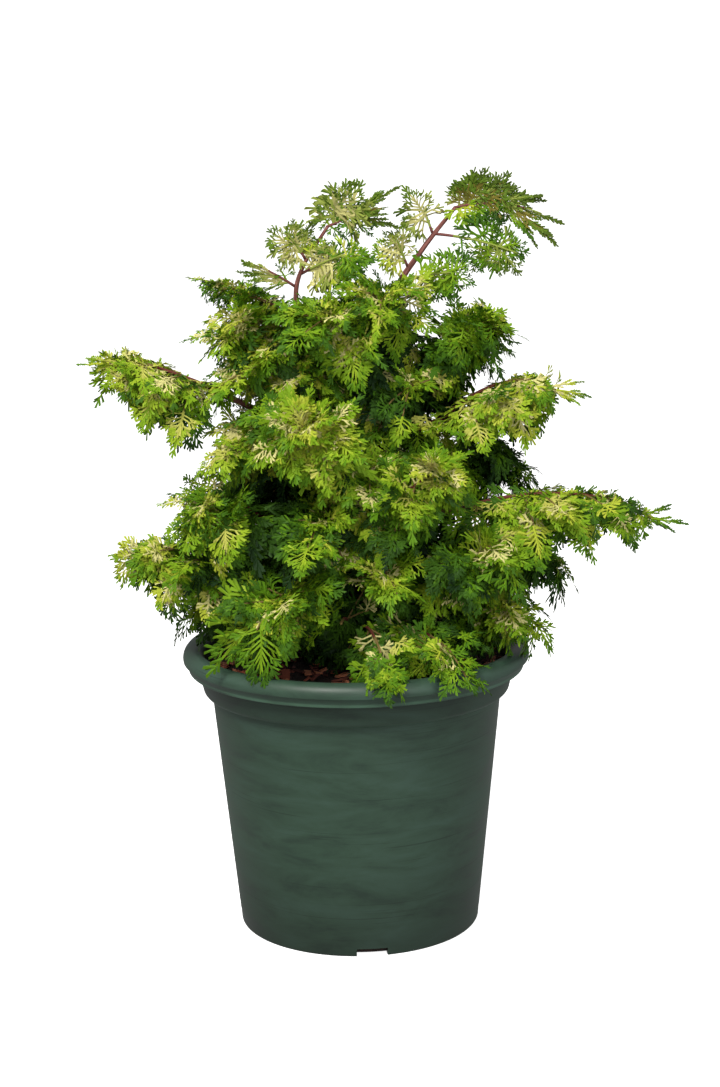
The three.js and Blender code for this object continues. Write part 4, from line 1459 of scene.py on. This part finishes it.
    def side_twigs(self, mass: Mass, random: Seeded) -> list[tuple[Array, Array, float, float]]:
        """The source's rule. A twig's way is the stem's way times the cosine of its angle, plus the way
        across times the sine, less its hang.

        Args:
            mass: the mass whose stem bears the twigs.
            random: the mass's own stream of chance.

        Returns:
            For each twig its root, its way, its reach, and how far along the stem it is. The last one is the
            stem's own end.
        """
        rule = self.rule
        count = mass.pairs * 2
        made = []
        for i in range(count):
            t = mass.share * (rule.first + rule.span * (i + 0.5) / count)
            side = 1 if i % 2 else -1
            along = mass.path.tangent(t)[0]
            across = np.cross(along, square_to(UP, along))
            angle = math.radians(blend(*rule.angles, i / count))
            turn = rule.hang[(i // 2) % len(rule.hang)]
            if turn < 0 and mass.arm:
                turn *= rule.arm_rise
            hang = mass.droop * turn + rule.sway * (random.draw() - 0.5)
            way = unit(along * math.cos(angle) + across * side * math.sin(angle) - UP * hang)
            swell = rule.reach - rule.reach_fall * (i / count) ** 2
            reach = mass.wide * swell * (rule.reach_least + rule.reach_spread * random.draw())
            made.append((mass.path.point(t)[0], way, reach, t / mass.share))
        end = mass.path.tangent(mass.share)[0] - UP * rule.end_droop * mass.droop
        room = np.linalg.norm(mass.points[-1] - np.array(mass.tip)) * rule.end_room
        made.append((mass.points[-1], unit(end), min(mass.wide * rule.end_reach, room), 1.0))
        return made

    def outward(self, mass: Mass, point: Array, way: Array) -> Array:
        """The way that a spray's upper side leans: away from the trunk, or on an arm to the side it grows on.

        Args:
            mass: the mass that the spray is on.
            point: the spray's root.
            way: the way that it grows.

        Returns:
            The lean, at unit length.
        """
        level = np.array([1, 1, 0])
        if mass.arm:
            run = unit((mass.points[-1] - mass.points[0]) * level)
            flat = way * level
            flat = flat - run * (flat @ run)
        else:
            flat = (point - self.limbs.stems["trunk"].path.point(self.outward_from)[0]) * level
        return unit(UP + self.outward_lean * unit(flat))

    def twig_rows(self, mass: Mass, i: int, twig: tuple, rng: Chance) -> tuple[list, Array]:
        """One side twig: a spray at its end and others along it, by turns left and right. The twig falls by
        its droop times the square of the way along it.

        Args:
            mass: the mass that it grows on.
            i: its number.
            twig: its root, its way, its reach and its place on the stem.
            rng: the mass's chance.

        Returns:
            A row for each spray, and the twig's path.
        """
        root, way, reach, place = twig
        up = square_to(self.outward(mass, root, way), way)
        across = np.cross(up, way)
        long = reach * self.twig_share
        s = np.linspace(0, 1, 5)[:, None]
        path = root + way * long * s - UP * self.twig_droop * long * mass.droop * s**2
        end_way = unit(path[-1] - path[-2])
        plume = mass.arm and place == 1.0
        form = Form.PLUME if plume else Form.FAN
        if plume:
            end_way, up = unit(end_way * self.plume_level), FRONT
        beyond = self.end_reach * reach - long
        rows = [(path[-1], end_way, up, beyond * rng.uniform(*self.end_size), form, 1 - place)]
        for turn in self.plume_turns if plume else ():
            out = unit(end_way * math.cos(turn) + UP * math.sin(turn))
            rows.append((path[-2], out, up, beyond * rng.uniform(*self.plume_size), form, 0))
        for k, (share, angle, size) in enumerate(self.side_sprays):
            side = 1 if (i + k) % 2 else -1
            turn = math.radians(angle + rng.uniform(-self.side_turn, self.side_turn)) * side
            at = path[0] + (path[-1] - path[0]) * share
            rise = rng.uniform(*(self.arm_rise if mass.arm else self.side_rise))
            out = unit(way * math.cos(turn) + across * math.sin(turn) + up * rise)
            small = 1 - mass.taper * place
            long = reach * size * small * rng.uniform(*self.side_size)
            rows.append((at, out, up, long, Form.FAN, 1 - place + self.side_inner))
        return rows, path

    def set_rows(self, mass: Mass, rng: Chance) -> tuple[list, list, list]:
        """The sprays of a mass that are set one by one, each flat to the front or nearly so. A spray's way is
        the cosine of its angle to the right, the sine up, and its lean to the front.

        Args:
            mass: the mass.
            rng: its chance.

        Returns:
            A row for each spray, the twigs' paths, and the sprays' palettes.
        """
        rows, paths, dealt = [], [], []
        for place, angle, long, form, palette in self.by_hand.get(mass.name, ()):
            root, turn = mass.path.point(mass.share * place)[0], math.radians(angle)
            lean = rng.uniform(*(self.near_lean if place < self.set_half else self.far_lean))
            way = unit(SIDEWAYS * math.cos(turn) + UP * math.sin(turn) + FRONT * lean)
            rows.append((root, way, square_to(FRONT, way), long * rng.uniform(*self.set_size), form, 0))
            paths.append(np.linspace(root, root + way * self.set_twig * long, 5))
            dealt.append(PALETTES.index(palette))
        return rows, paths, dealt

    def stem_rows(self, mass: Mass, rng: Chance) -> list:
        """Sprays straight on a stem: on its bare inner part, on the bough that bears it, and over its top.

        Args:
            mass: the mass.
            rng: its chance.

        Returns:
            A row for each spray.
        """
        path, share = mass.path, mass.share
        spots = [(path, share * t, t) for t in self.inner_places]
        if mass.on in self.limbs.arches:
            arch = self.limbs.arches[mass.on]
            spots += [(arch, t, self.bough_out[mass.arm]) for t in self.bough_places]
        rows = []
        for k, (line, t, place) in enumerate(spots):
            at, along = line.point(t)[0], line.tangent(t)[0]
            across = unit(np.cross(along, UP))
            side = 1 if k % 2 else -1
            turn = math.radians(rng.uniform(*self.inner_turn))
            hang = mass.droop * rng.uniform(*self.inner_hang)
            way = unit(along * math.cos(turn) + across * side * math.sin(turn) - UP * hang)
            up = square_to(self.outward(mass, at, way), way)
            form = Form.SHADE if place < self.shade_within and not mass.arm else Form.FAN
            size = rng.uniform(*(self.inner_size if form is Form.SHADE else self.fan_size))
            rows.append((at, way, up, mass.wide * size, form, 1 - place))
        for t in () if mass.arm else np.linspace(*self.crest_places, mass.crest):
            at, along = path.point(share * t)[0], path.tangent(share * t)[0]
            across = unit(np.cross(along, UP)) * rng.uniform(-self.crest_side, self.crest_side)
            way = unit(along + across + UP * rng.uniform(self.crest_least, mass.crest_rise))
            up = square_to(self.outward(mass, at, way), way)
            rows.append((at, way, up, mass.wide * rng.uniform(*self.crest_size), Form.FAN, 1 - t))
        return rows

    def hanging_rows(self, mass: Mass, paths: Array, rng: Chance) -> list:
        """Sprays under a mass, each from a place on a twig or on the stem, its way outward and down. A mass
        with a fuller fill leaves its inner third of twigs without them, and hangs longer ones lower.

        Args:
            mass: the mass.
            paths: its twigs' paths.
            rng: its chance.

        Returns:
            A row for each spray.
        """
        rows = []
        full = mass.fill > self.light_fill
        stem = mass.path.point(mass.share * np.linspace(self.hang_from[full], 1, 5))
        for twig in rng.integers(len(paths) // 3 if full else 0, len(paths) * 3 // 2, size=mass.fill):
            on_twig = twig < len(paths)
            path = paths[twig] if on_twig else stem
            spot = path[rng.integers(1, 5)]
            along = unit(path[-1] - path[0])
            across = unit(np.cross(along, UP)) * rng.uniform(-self.hang_side, self.hang_side)
            way = unit(self.hang_along * along + across - UP * rng.uniform(*self.hang_down[full]))
            up = square_to(self.outward(mass, spot, way), way)
            small = 1 - mass.taper * (twig / len(paths) if on_twig else self.stem_taper)
            long = mass.wide * small * rng.uniform(*self.hang_size[full])
            rows.append((spot, way, up, long, Form.FAN, self.hang_inner))
        return rows

    def grow(self, number: int) -> tuple[Sprays, Array]:
        """Grows one mass's twigs and sprays.

        Args:
            number: which mass.

        Returns:
            The sprays that found room, and the twigs' paths.
        """
        mass = self.masses[number]
        rng = np.random.default_rng(self.seed + number)
        rows, paths, dealt = self.set_rows(mass, rng)
        if not mass.face:
            for i, twig in enumerate(self.side_twigs(mass, Seeded(self.seed + number))):
                sprays, path = self.twig_rows(mass, i, twig, rng)
                rows += sprays
                paths.append(path)
            twigs = np.array(paths[len(dealt) :])
            rows += self.stem_rows(mass, rng) + self.hanging_rows(mass, twigs, rng)
            dealt += [-1] * (len(rows) - len(dealt))
        roots, ways, ups, lengths, forms, inner = zip(*rows)
        ways, ups = np.array(ways), np.array(ups)
        ups = square_to(ups, ways)
        flatter = self.flat_roll if mass.face or mass.arm else 1
        roll = rng.uniform(-self.roll, self.roll, len(rows))[:, None] * flatter
        ups = ups * np.cos(roll) + np.cross(ups, ways) * np.sin(roll)
        forms = np.array([FORMS.index(form) for form in forms])
        roots, lengths, inner, dealt = (np.array(part) for part in (roots, lengths, inner, dealt))
        sprays = Sprays(roots, ways, ups, lengths, forms, inner, dealt)
        sizes = np.zeros(len(rows))
        for size in self.sizes:
            spots = sprays.samples(size)
            fits = self.keeps_to_space(spots.reshape(-1, 3), number).reshape(-1, 3).all(1)
            if mass.arm:
                fits &= self.under_stem(mass, spots) | (forms == FORMS.index(Form.PLUME))
            sizes = np.where(fits, size, sizes)
        sprays, paths = sprays.kept(sizes > 0, sizes), np.array(paths)
        if mass.face:
            return sprays, paths
        before, behind = self.by_hollows(sprays.samples(1))
        # a spray behind a hollow is dealt the darkest palette: painted shade in the gap
        sprays.inner[behind] = self.behind
        sprays = sprays.kept(~before, np.ones(len(before)))
        before, _ = self.by_hollows(paths[:, 1:])
        return sprays, paths[~before]

    def under_stem(self, mass: Mass, points: Array) -> Array:
        """Which rows of points keep below an arm's stem and a little over, each at the stem's nearest place.

        Args:
            mass: the arm.
            points: n rows of points.

        Returns:
            True for each row that keeps there.
        """
        stem = mass.path.point(np.linspace(0, 1, 30))
        nearest = np.linalg.norm(points[..., None, :2] - stem[:, :2], axis=-1).argmin(-1)
        return (points[..., 2] < stem[nearest, 2] + self.arm_margin).all(-1)

    def by_hollows(self, points: Array) -> tuple[Array, Array]:
        """Which rows of points have one inside a hollow's tunnel, which comes from the camera, and which have
        one behind it.

        Args:
            points: n rows of points.

        Returns:
            True for each row with a point inside, and True for each with a point behind.
        """
        eye = np.array(Studio.camera_place)
        inside, behind = np.zeros((2, len(points)), bool)
        for hollow in HOLLOWS:
            ahead = np.array(hollow.centre) - eye
            along = (points - eye) @ unit(ahead)
            near = np.linalg.norm(points - eye - along[..., None] * unit(ahead), axis=-1) < hollow.radius
            before = along < np.linalg.norm(ahead)
            inside |= (near & before).any(1)
            behind |= (near & ~before).any(1)
        return inside, behind

    def deal(self, sprays: Sprays, mass: Mass, rng: Chance) -> Array:
        """Deals palettes to the sprays, by the mass's mood or by a darker one near the trunk: older foliage,
        and painted shade inside the crown. The sprays are ranked by slow waves over the plant plus chance,
        and the palettes are dealt down the ranks, so that neighbours are often alike. A spray that is set one
        by one keeps its own, and one behind a hollow is given the darkest palette, painted shade.

        Args:
            sprays: the mass's sprays.
            mass: the mass.
            rng: its chance.

        Returns:
            The number of each spray's palette.
        """
        made = np.empty(len(sprays.roots), int)
        # dark palettes near the trunk, older foliage and painted shade; the darkest behind the hollows,
        # painted shade
        deep = sprays.inner > self.deep
        odds = np.clip((sprays.inner - self.dark_from) * self.dark_gain, 0, mass.shade)
        dark = deep | (rng.random(len(made)) < odds)
        waves = np.sin(sprays.roots @ rng.normal(0, self.wave, (3, 3)) + rng.uniform(0, 6.3, 3)).sum(1)
        score = waves + rng.normal(0, self.wave_chance, len(made))
        score += 0 if mass.arm else self.young_and_lit_tips * sprays.inner
        for mood, chosen in ((mass.mood, ~dark), (INNER_MOOD, dark)):
            limits = np.cumsum(mood.value) / sum(mood.value)
            rank = np.argsort(np.argsort(score[chosen]))
            made[chosen] = np.searchsorted(limits, (rank + 0.5) / max(1, len(rank)))
        made[deep] = PALETTES.index(Palette.DUSKY)
        return np.where(sprays.dealt < 0, made, sprays.dealt)

    def leaf_parts(self, sprays: Sprays, bows: Array, rng: Chance) -> tuple[Array, ...]:
        """The lobes and rachises of sprays, in the sprays' own frames. A lobe's corner is its root plus its u
        ahead, its v plus the bend times u squared across, and its w up, all by its heading, tilt and roll.

        Args:
            sprays: the sprays.
            bows: how far each rachis bows to its side.
            rng: the mass's chance.

        Returns:
            The corners, the spray that each belongs to, the triangles, and which of them are ribs.
        """
        points, owners, faces = (list(part) for part in zip(sprays.rachises(bows)))
        count = len(points[0])
        ribs = [np.ones(len(faces[0]), bool)]
        lobes = sprays.lobes(bows, rng)
        variants = rng.integers(self.variants, size=len(lobes["owner"]))
        for kind, shapes in enumerate(self.shapes):
            for variant, (shape, triangles) in enumerate(shapes):
                chosen = np.flatnonzero((lobes["kind"] == kind) & (variants == variant))
                heading, tilt, roll = (lobes[name][chosen][:, None] for name in ("heading", "tilt", "roll"))
                long, bend = (lobes[name][chosen][:, None, None] for name in ("length", "bend"))
                level = np.cos(tilt)
                way = np.stack([np.cos(heading) * level, np.sin(heading) * level, np.sin(tilt)], -1)
                flat = np.stack([-np.sin(heading), np.cos(heading), 0 * heading], -1)
                over = np.cross(way, flat)
                left = flat * np.cos(roll)[..., None] + over * np.sin(roll)[..., None]
                up = over * np.cos(roll)[..., None] - flat * np.sin(roll)[..., None]
                u, v, w = (shape[None, :, c, None] for c in range(3))
                bent = u * way + (v + bend * u**2) * left + w * up
                root = np.pad(lobes["root"][chosen], ((0, 0), (0, 1)))[:, None]
                points.append((root + bent * long).reshape(-1, 3))
                owners.append(np.repeat(lobes["owner"][chosen], len(shape)))
                starts = count + np.arange(len(chosen)) * len(shape)
                faces.append((triangles[None] + starts[:, None, None]).reshape(-1, 3))
                ribs.append(np.tile(np.arange(len(triangles)) < 2 * (LobeShape.rib_rows - 1), len(chosen)))
                count += len(chosen) * len(shape)
        return np.vstack(points), np.concatenate(owners), np.vstack(faces), np.concatenate(ribs)

    def leaf_piece(self, number: int, sprays: Sprays, materials: list[Material]) -> None:
        """Makes one mass's leaves, each triangle in the tone that its spray's palette has for its zone.

        Args:
            number: which mass.
            sprays: the mass's sprays.
            materials: the foliage's tones.
        """
        mass = self.masses[number]
        rng = np.random.default_rng(self.leaf_seed + number)
        n = len(sprays.roots)
        palettes = self.deal(sprays, mass, rng)
        table = np.array([[TONES.index(tone) for tone in palette.value] for palette in PALETTES])
        bows = rng.uniform(-self.bow, self.bow, n) * np.where(sprays.forms == FORMS.index(Form.CORAL), 2, 1)
        cups = rng.uniform(*self.cup, n)
        sags = rng.uniform(*self.sag, n) * (self.face_sag if mass.face else 1)
        points, owners, faces, ribs = self.leaf_parts(sprays, bows, rng)
        far = sprays.outness(points, owners) + rng.uniform(-self.ragged, self.ragged, len(points))
        zones = np.digitize(far[faces[:, 0]] - sprays.rib_lag * ribs, [sprays.heart, sprays.middle])
        tones = table[palettes[owners[faces[:, 0]]], zones]
        placed = sprays.place(points, owners, cups, sags)
        piece = make_piece(f"{mass.name}_leaves", placed, faces, materials, tones, smooth=False)
        hand_over(piece, "foliage", mass.name)

    def twig_piece(self, number: int, paths: Array, materials: list[Material]) -> None:
        """Makes one mass's stem, woody at its root and young further out, and its twigs.

        Args:
            number: which mass.
            paths: its twigs' paths.
            materials: the foliage's tones.
        """
        mass = self.masses[number]
        t = np.linspace(0, 1, self.stem_rings)
        stem = mass.path.point(mass.share * t)[None]
        stem[0, 0] -= mass.path.tangent(0)[0] * self.sunk
        reference = SIDEWAYS if abs(unit(stem[0, -1] - stem[0, 0])[2]) > self.steep else UP
        ends = self.face_radius if mass.face else self.stem_radius
        points, faces, _ = tubes(stem, blend(*ends, t)[None], self.stem_sides, reference)
        way = unit(paths[:, -1] - paths[:, 0])
        references = np.where(np.abs(way[:, 2:3]) > self.steep, SIDEWAYS, UP)
        radii = np.broadcast_to(np.linspace(*self.twig_radius, paths.shape[1]), paths.shape[:2])
        twig_points, twig_faces, _ = tubes(paths, radii, self.twig_sides, references)
        kinds = (Tone.PLUM, Tone.SAGE) if mass.face else (Tone.WOOD, Tone.TAN)
        wood, young = (TONES.index(tone) for tone in kinds)
        ring = faces.min(1) // self.stem_sides
        tones = np.append(np.where(ring < mass.woody, wood, young), np.full(len(twig_faces), young))
        faces = np.vstack([faces, twig_faces + len(points)])
        piece = make_piece(f"{mass.name}_twigs", np.vstack([points, twig_points]), faces, materials, tones)
        hand_over(piece, "bark")

    def build(self) -> None:
        """Makes the twigs and the leaves of all the masses."""
        materials = Foliage().materials()
        total = 0
        for number in range(len(self.masses)):
            sprays, paths = self.grow(number)
            self.leaf_piece(number, sprays, materials)
            self.twig_piece(number, paths, materials)
            total += len(sprays.roots)
        log.info("sprays: %d, faces: %d", total, sum(len(mesh.polygons) for mesh in bpy.data.meshes))


# ---- the pot and its soil ----
def lathe(profile: Array, sides: int) -> tuple[Array, Array]:
    """A profile turned round the Z axis: x is the radius times the cosine of the turn, y times its sine.

    Args:
        profile: n rows of radius and height.
        sides: corners in a ring.

    Returns:
        The corners and the quads.
    """
    turn = np.arange(sides) * 2 * math.pi / sides
    radius, height = profile[:, :1], profile[:, 1:]
    points = np.stack([radius * np.cos(turn), radius * np.sin(turn), np.repeat(height, sides, 1)], -1)
    i, j = np.meshgrid(np.arange(len(profile) - 1), np.arange(sides), indexing="ij")
    a, b = i * sides + j, i * sides + (j + 1) % sides
    return points.reshape(-1, 3), np.stack([a, b, b + sides, a + sides], -1).reshape(-1, 4)


def weld(piece: Piece) -> None:
    """Merges doubled corners, so that poles close, and turns the faces outwards.

    Args:
        piece: the piece.
    """
    shape = bmesh.new()
    shape.from_mesh(piece.data)
    bmesh.ops.remove_doubles(shape, verts=shape.verts, dist=1e-6)
    bmesh.ops.recalc_face_normals(shape, faces=shape.faces)
    shape.to_mesh(piece.data)
    shape.free()


def arc(centre: Pair, wide: float, tall: float, start: float, end: float, steps: int) -> Array:
    """Points on an ellipse from one angle to another, in degrees."""
    turn = np.radians(np.linspace(start, end, steps))
    return np.stack([centre[0] + wide * np.cos(turn), centre[1] + tall * np.sin(turn)], 1)


@dataclass(frozen=True)
class Pot:
    """The round nursery pot: a straight tapering wall, a collar with a ledge, and a rolled rim."""

    height: float = 237.0
    foot_radius: float = 100.0
    floor: float = 3.0
    wall: float = 2.4
    shoulder_height: float = 197.0
    shoulder_radius: float = 119.6
    collar_height: float = 214.0  # where the collar's inside meets the rolled rim
    lip_height: float = 219.5
    lip_radius: float = 138.5
    bead_radius: float = 134.5
    bead_wide: float = 8.5
    bead_tall: float = 9.0
    drain_count: int = 3
    drain_wide: float = 25.0
    drain_height: float = 7.0
    drain_deep: float = 16.0
    drain_azimuth: float = -84.5
    sides: int = 192

    @property
    def inner_bead(self) -> float:
        """The radius inside the rolled rim."""
        return self.bead_radius - self.bead_wide

    @property
    def inner_shoulder(self) -> float:
        """The radius inside the collar's ledge."""
        return self.shoulder_radius - self.wall + 1.6

    def profile(self) -> Array:
        """The wall's section, from the middle of the underside round the rim to the middle of the floor.

        Returns:
            The section's radii and heights, as rows.
        """
        shoulder, lip = self.shoulder_height, self.lip_height
        middle = (self.bead_radius, self.height - self.bead_tall)
        bead = arc(middle, self.bead_wide, self.bead_tall, -14, 180, 26)
        wall = np.linspace((self.foot_radius + 0.9, 11), (self.shoulder_radius, shoulder), 24)
        return np.vstack([
            [(0.01, 0), (self.foot_radius - 2.5, 0)],
            arc((self.foot_radius - 2.5, 2.5), 2.5, 2.5, -75, -5, 5),
            [(self.foot_radius + 0.55, 9.6)],
            wall,
            arc((self.shoulder_radius + 2.4, shoulder + 6), 5.0, 5.2, -95, -5, 8),
            [(self.lip_radius - 10.4, shoulder + 10), (self.lip_radius - 8.6, lip - 4.2)],
            arc((self.lip_radius - 6.6, lip - 4), 2.0, 2.0, 180, 100, 4),
            arc((self.lip_radius - 1.0, lip - 0.8), 1.0, 1.0, -90, 20, 5),
            [(self.bead_radius + self.bead_wide - 1.9, lip + 5.4)],
            bead,
            [(self.inner_bead + 0.3, self.collar_height), (self.inner_shoulder, shoulder + 1),
             (self.foot_radius - self.wall, self.floor), (0.01, self.floor)],
        ])

    def build(self) -> None:
        """Makes the pot, cuts its drain notches, and hands it over."""
        points, faces = lathe(self.profile(), self.sides)
        piece = make_piece("pot_shell", points, faces, [PotPlastic().material()])
        weld(piece)
        cutter = bmesh.new()
        sides = np.array([2 * self.drain_deep, self.drain_wide, 2 * self.drain_height]) * MM
        size = Matrix.Diagonal((*sides, 1))
        for i in range(self.drain_count):
            turn = math.radians(self.drain_azimuth + 360 * i / self.drain_count)
            place = Matrix.Rotation(turn, 4, "Z") @ Matrix.Translation((self.foot_radius * MM, 0, 0))
            bmesh.ops.create_cube(cutter, size=1, matrix=place @ size)
        mesh = bpy.data.meshes.new("notches")
        cutter.to_mesh(mesh)
        cutter.free()
        notches = add_object("notches", mesh)
        cut = piece.modifiers.new("notches", "BOOLEAN")
        cut.object, cut.operation, cut.solver = notches, "DIFFERENCE", "EXACT"
        graph = bpy.context.evaluated_depsgraph_get()
        cut_mesh = bpy.data.meshes.new_from_object(piece.evaluated_get(graph))
        piece.modifiers.clear()
        piece.data = cut_mesh
        bpy.data.objects.remove(notches)
        cut_mesh.shade_smooth()
        cut_mesh.set_sharp_from_angle(angle=math.radians(38))
        hand_over(piece, "pot_plastic", "pot")


@dataclass(frozen=True)
class Soil:
    """The potting mix that fills the pot, uneven on top, with bark chips strewn over it."""

    pot: Pot
    centre: float = 222.0
    edge: float = 219.0
    gap: float = 0.3
    bumps: float = 0.9
    chips: int = 520
    chip_long: Pair = (6.0, 19.0)
    seed: int = 7

    def build(self) -> None:
        """Makes the soil and its chips."""
        pot = self.pot
        top = np.linspace(1, 0, 40)[:, None]
        radius = 0.01 + (pot.inner_bead - self.gap - 0.01) * top
        surface = np.hstack([radius, blend(self.centre, self.edge, top**1.5)])
        profile = np.vstack([
            [(0.01, pot.floor + self.gap), (pot.foot_radius - pot.wall - self.gap, pot.floor + self.gap),
             (pot.inner_shoulder - self.gap, pot.shoulder_height + 1),
             (pot.inner_bead - self.gap, pot.collar_height)],
            surface,
        ])
        points, faces = lathe(profile, 128)
        x, y = points[:, 0], points[:, 1]
        wide_lumps = np.sin(x / 5.1 + 1) * np.sin(y / 4.3)
        lumps = wide_lumps + 0.6 * np.sin(x / 2.3 + y / 3.1) + 0.5 * np.sin(y / 1.9 - x / 2.9)
        near_edge = np.clip((pot.inner_bead - np.hypot(x, y)) / 4, 0, 1)
        points[:, 2] += np.where(points[:, 2] > self.edge - 0.5, self.bumps * lumps * near_edge, 0)
        piece = make_piece("potting_mix", points, faces, [PottingMix().material()])
        weld(piece)
        hand_over(piece, "potting_mix", "potting_soil")
        self.strew()

    def strew(self) -> None:
        """Strews the chips: each is a flat splinter of eight uneven corners, lying at a slight tilt."""
        rng = np.random.default_rng(self.seed)
        n = self.chips
        radius = (self.pot.inner_bead - 8) * np.sqrt(rng.uniform(0.02, 1, n))
        turn = rng.uniform(0, 2 * math.pi, n)
        long = rng.uniform(*self.chip_long, n)
        wide, thick = long * rng.uniform(0.2, 0.45, n), rng.uniform(0.8, 2.2, n)
        corners = np.array([[sx, sy, sz] for sx in (-0.5, 0.5) for sy in (-0.5, 0.5) for sz in (-0.5, 0.5)])
        local = corners[None] * np.stack([long, wide, thick], -1)[:, None] * rng.uniform(0.55, 1.1, (n, 8, 1))
        heading, pitch = rng.uniform(0, 2 * math.pi, n), rng.normal(0, 0.22, n)
        level = np.cos(pitch)
        ahead = np.stack([np.cos(heading) * level, np.sin(heading) * level, np.sin(pitch)], -1)
        side = np.stack([-np.sin(heading), np.cos(heading), np.zeros(n)], -1)
        over = np.cross(ahead, side)
        centre = np.stack([radius * np.cos(turn), radius * np.sin(turn), np.zeros(n)], -1)
        ground = blend(self.centre, self.edge, (radius / self.pot.inner_bead) ** 1.5)
        centre[:, 2] = ground + 0.4 + long * 0.35 * np.abs(np.sin(pitch)) + rng.uniform(0, 1.2, n)
        points = centre[:, None] + (
            local[..., :1] * ahead[:, None] + local[..., 1:2] * side[:, None] + local[..., 2:] * over[:, None]
        )
        cube = np.array([[0, 1, 3, 2], [4, 6, 7, 5], [0, 4, 5, 1], [2, 3, 7, 6], [0, 2, 6, 4], [1, 5, 7, 3]])
        faces = (cube[None] + 8 * np.arange(n)[:, None, None]).reshape(-1, 4)
        materials = BarkChip().materials()
        tones = np.repeat(rng.integers(len(materials), size=n), 6)
        piece = make_piece("bark_chips", points.reshape(-1, 3), faces, materials, tones, smooth=False)
        hand_over(piece, "potting_mix")


# ---- the studio ----
@dataclass(frozen=True)
class Studio:
    """A white sweep for floor and walls, which the camera sees evenly lit, soft light from above and in
    front, dimmer light from all round, and the camera."""

    focal_pixels: float = 2150.0  # the lens's length in pixels of a frame that is 1087 tall
    frame_tall: float = 1087.0
    sensor: float = 36.0
    camera_place: Place = (4.7, -1730.0, 664.0)
    pitch: float = 11.27  # degrees down
    roll: float = 0.9
    sweep_radius: float = 7000.0
    sweep_bend: float = 1500.0
    sweep_glow: float = 0.95
    round_light: float = 0.34

    def camera(self) -> None:
        """Sets the camera: its axes are turned down by the pitch and then rolled."""
        data = bpy.data.cameras.new("camera")
        data.sensor_width = self.sensor
        data.lens = self.sensor * self.focal_pixels / self.frame_tall
        data.clip_start, data.clip_end = 0.05, 50
        camera = add_object("camera", data)
        p, r = math.radians(self.pitch), math.radians(self.roll)
        back = np.array([0, -math.cos(p), math.sin(p)])
        up = np.array([0, math.sin(p), math.cos(p)])
        x = SIDEWAYS * math.cos(r) - up * math.sin(r)
        y = SIDEWAYS * math.sin(r) + up * math.cos(r)
        turned = Matrix(np.stack([x, y, back], 1).tolist()).to_4x4()
        camera.matrix_world = Matrix.Translation(np.array(self.camera_place) * MM) @ turned
        bpy.context.scene.camera = camera

    def lamp(self, name: str, place: Place, size: float, power: float, tint: str) -> None:
        """Adds a square soft light that faces the plant.

        Args:
            name: its name.
            place: where it is, in metres.
            size: its side, in metres.
            power: its watts.
            tint: its colour.
        """
        data = bpy.data.lights.new(name, "AREA")
        data.shape, data.size, data.energy, data.color = "SQUARE", size, power, colour(tint)[:3]
        lamp = add_object(name, data)
        target = np.array([0, 0, 0.32])
        back = unit(np.array(place) - target)
        x = unit(np.cross(UP, back))
        turned = Matrix(np.stack([x, np.cross(back, x), back], 1).tolist()).to_4x4()
        lamp.matrix_world = Matrix.Translation(place) @ turned

    def sweep(self) -> None:
        """Makes the sweep: a flat floor that bends up into a wall and closes in a dome, turned round Z."""
        white = colour("#FFFFFF")
        glow = {"Emission Color": white, "Emission Strength": self.sweep_glow}
        material, _, _ = new_material("sweep_matt_white", {"Base Color": white, "Roughness": 0.9, **glow})
        far, bend = self.sweep_radius, self.sweep_bend
        profile = np.vstack([
            [(0.01, 0), (far / 2, 0)],
            arc((far - bend, bend), bend, bend, -90, 0, 9),
            arc((0, bend), far, far, 4, 89.99, 16),
        ])
        points, faces = lathe(profile, 64)
        floor = make_piece("floor", points, faces[:, ::-1], [material])
        floor.visible_diffuse = floor.visible_glossy = False
        floor.visible_transmission = floor.visible_shadow = False

    def build(self) -> None:
        """Makes the sweep, the light all round, the lamps and the camera."""
        scene = bpy.context.scene
        scene.view_settings.view_transform = "Standard"
        scene.view_settings.look = "None"
        self.sweep()
        world = bpy.data.worlds.new("round_light")
        scene.world = world
        world.use_nodes = True
        world.node_tree.nodes["Background"].inputs["Color"].default_value = (1, 1, 1, 1)
        world.node_tree.nodes["Background"].inputs["Strength"].default_value = self.round_light
        self.lamp("key", (-0.65, -1.5, 2.1), 0.9, 50.0, "#FFFDF8")
        self.lamp("fill", (0.9, -2.0, 0.9), 1.6, 14.0, "#F6F9FF")
        self.camera()


def main() -> None:
    """Builds the studio, the pot, the soil, the limbs and the crown."""
    Studio().build()
    log.info("studio: ready")
    pot = Pot()
    pot.build()
    Soil(pot).build()
    limbs = Limbs()
    limbs.build()
    Crown(limbs).build()


if __name__ == "__main__":
    main()
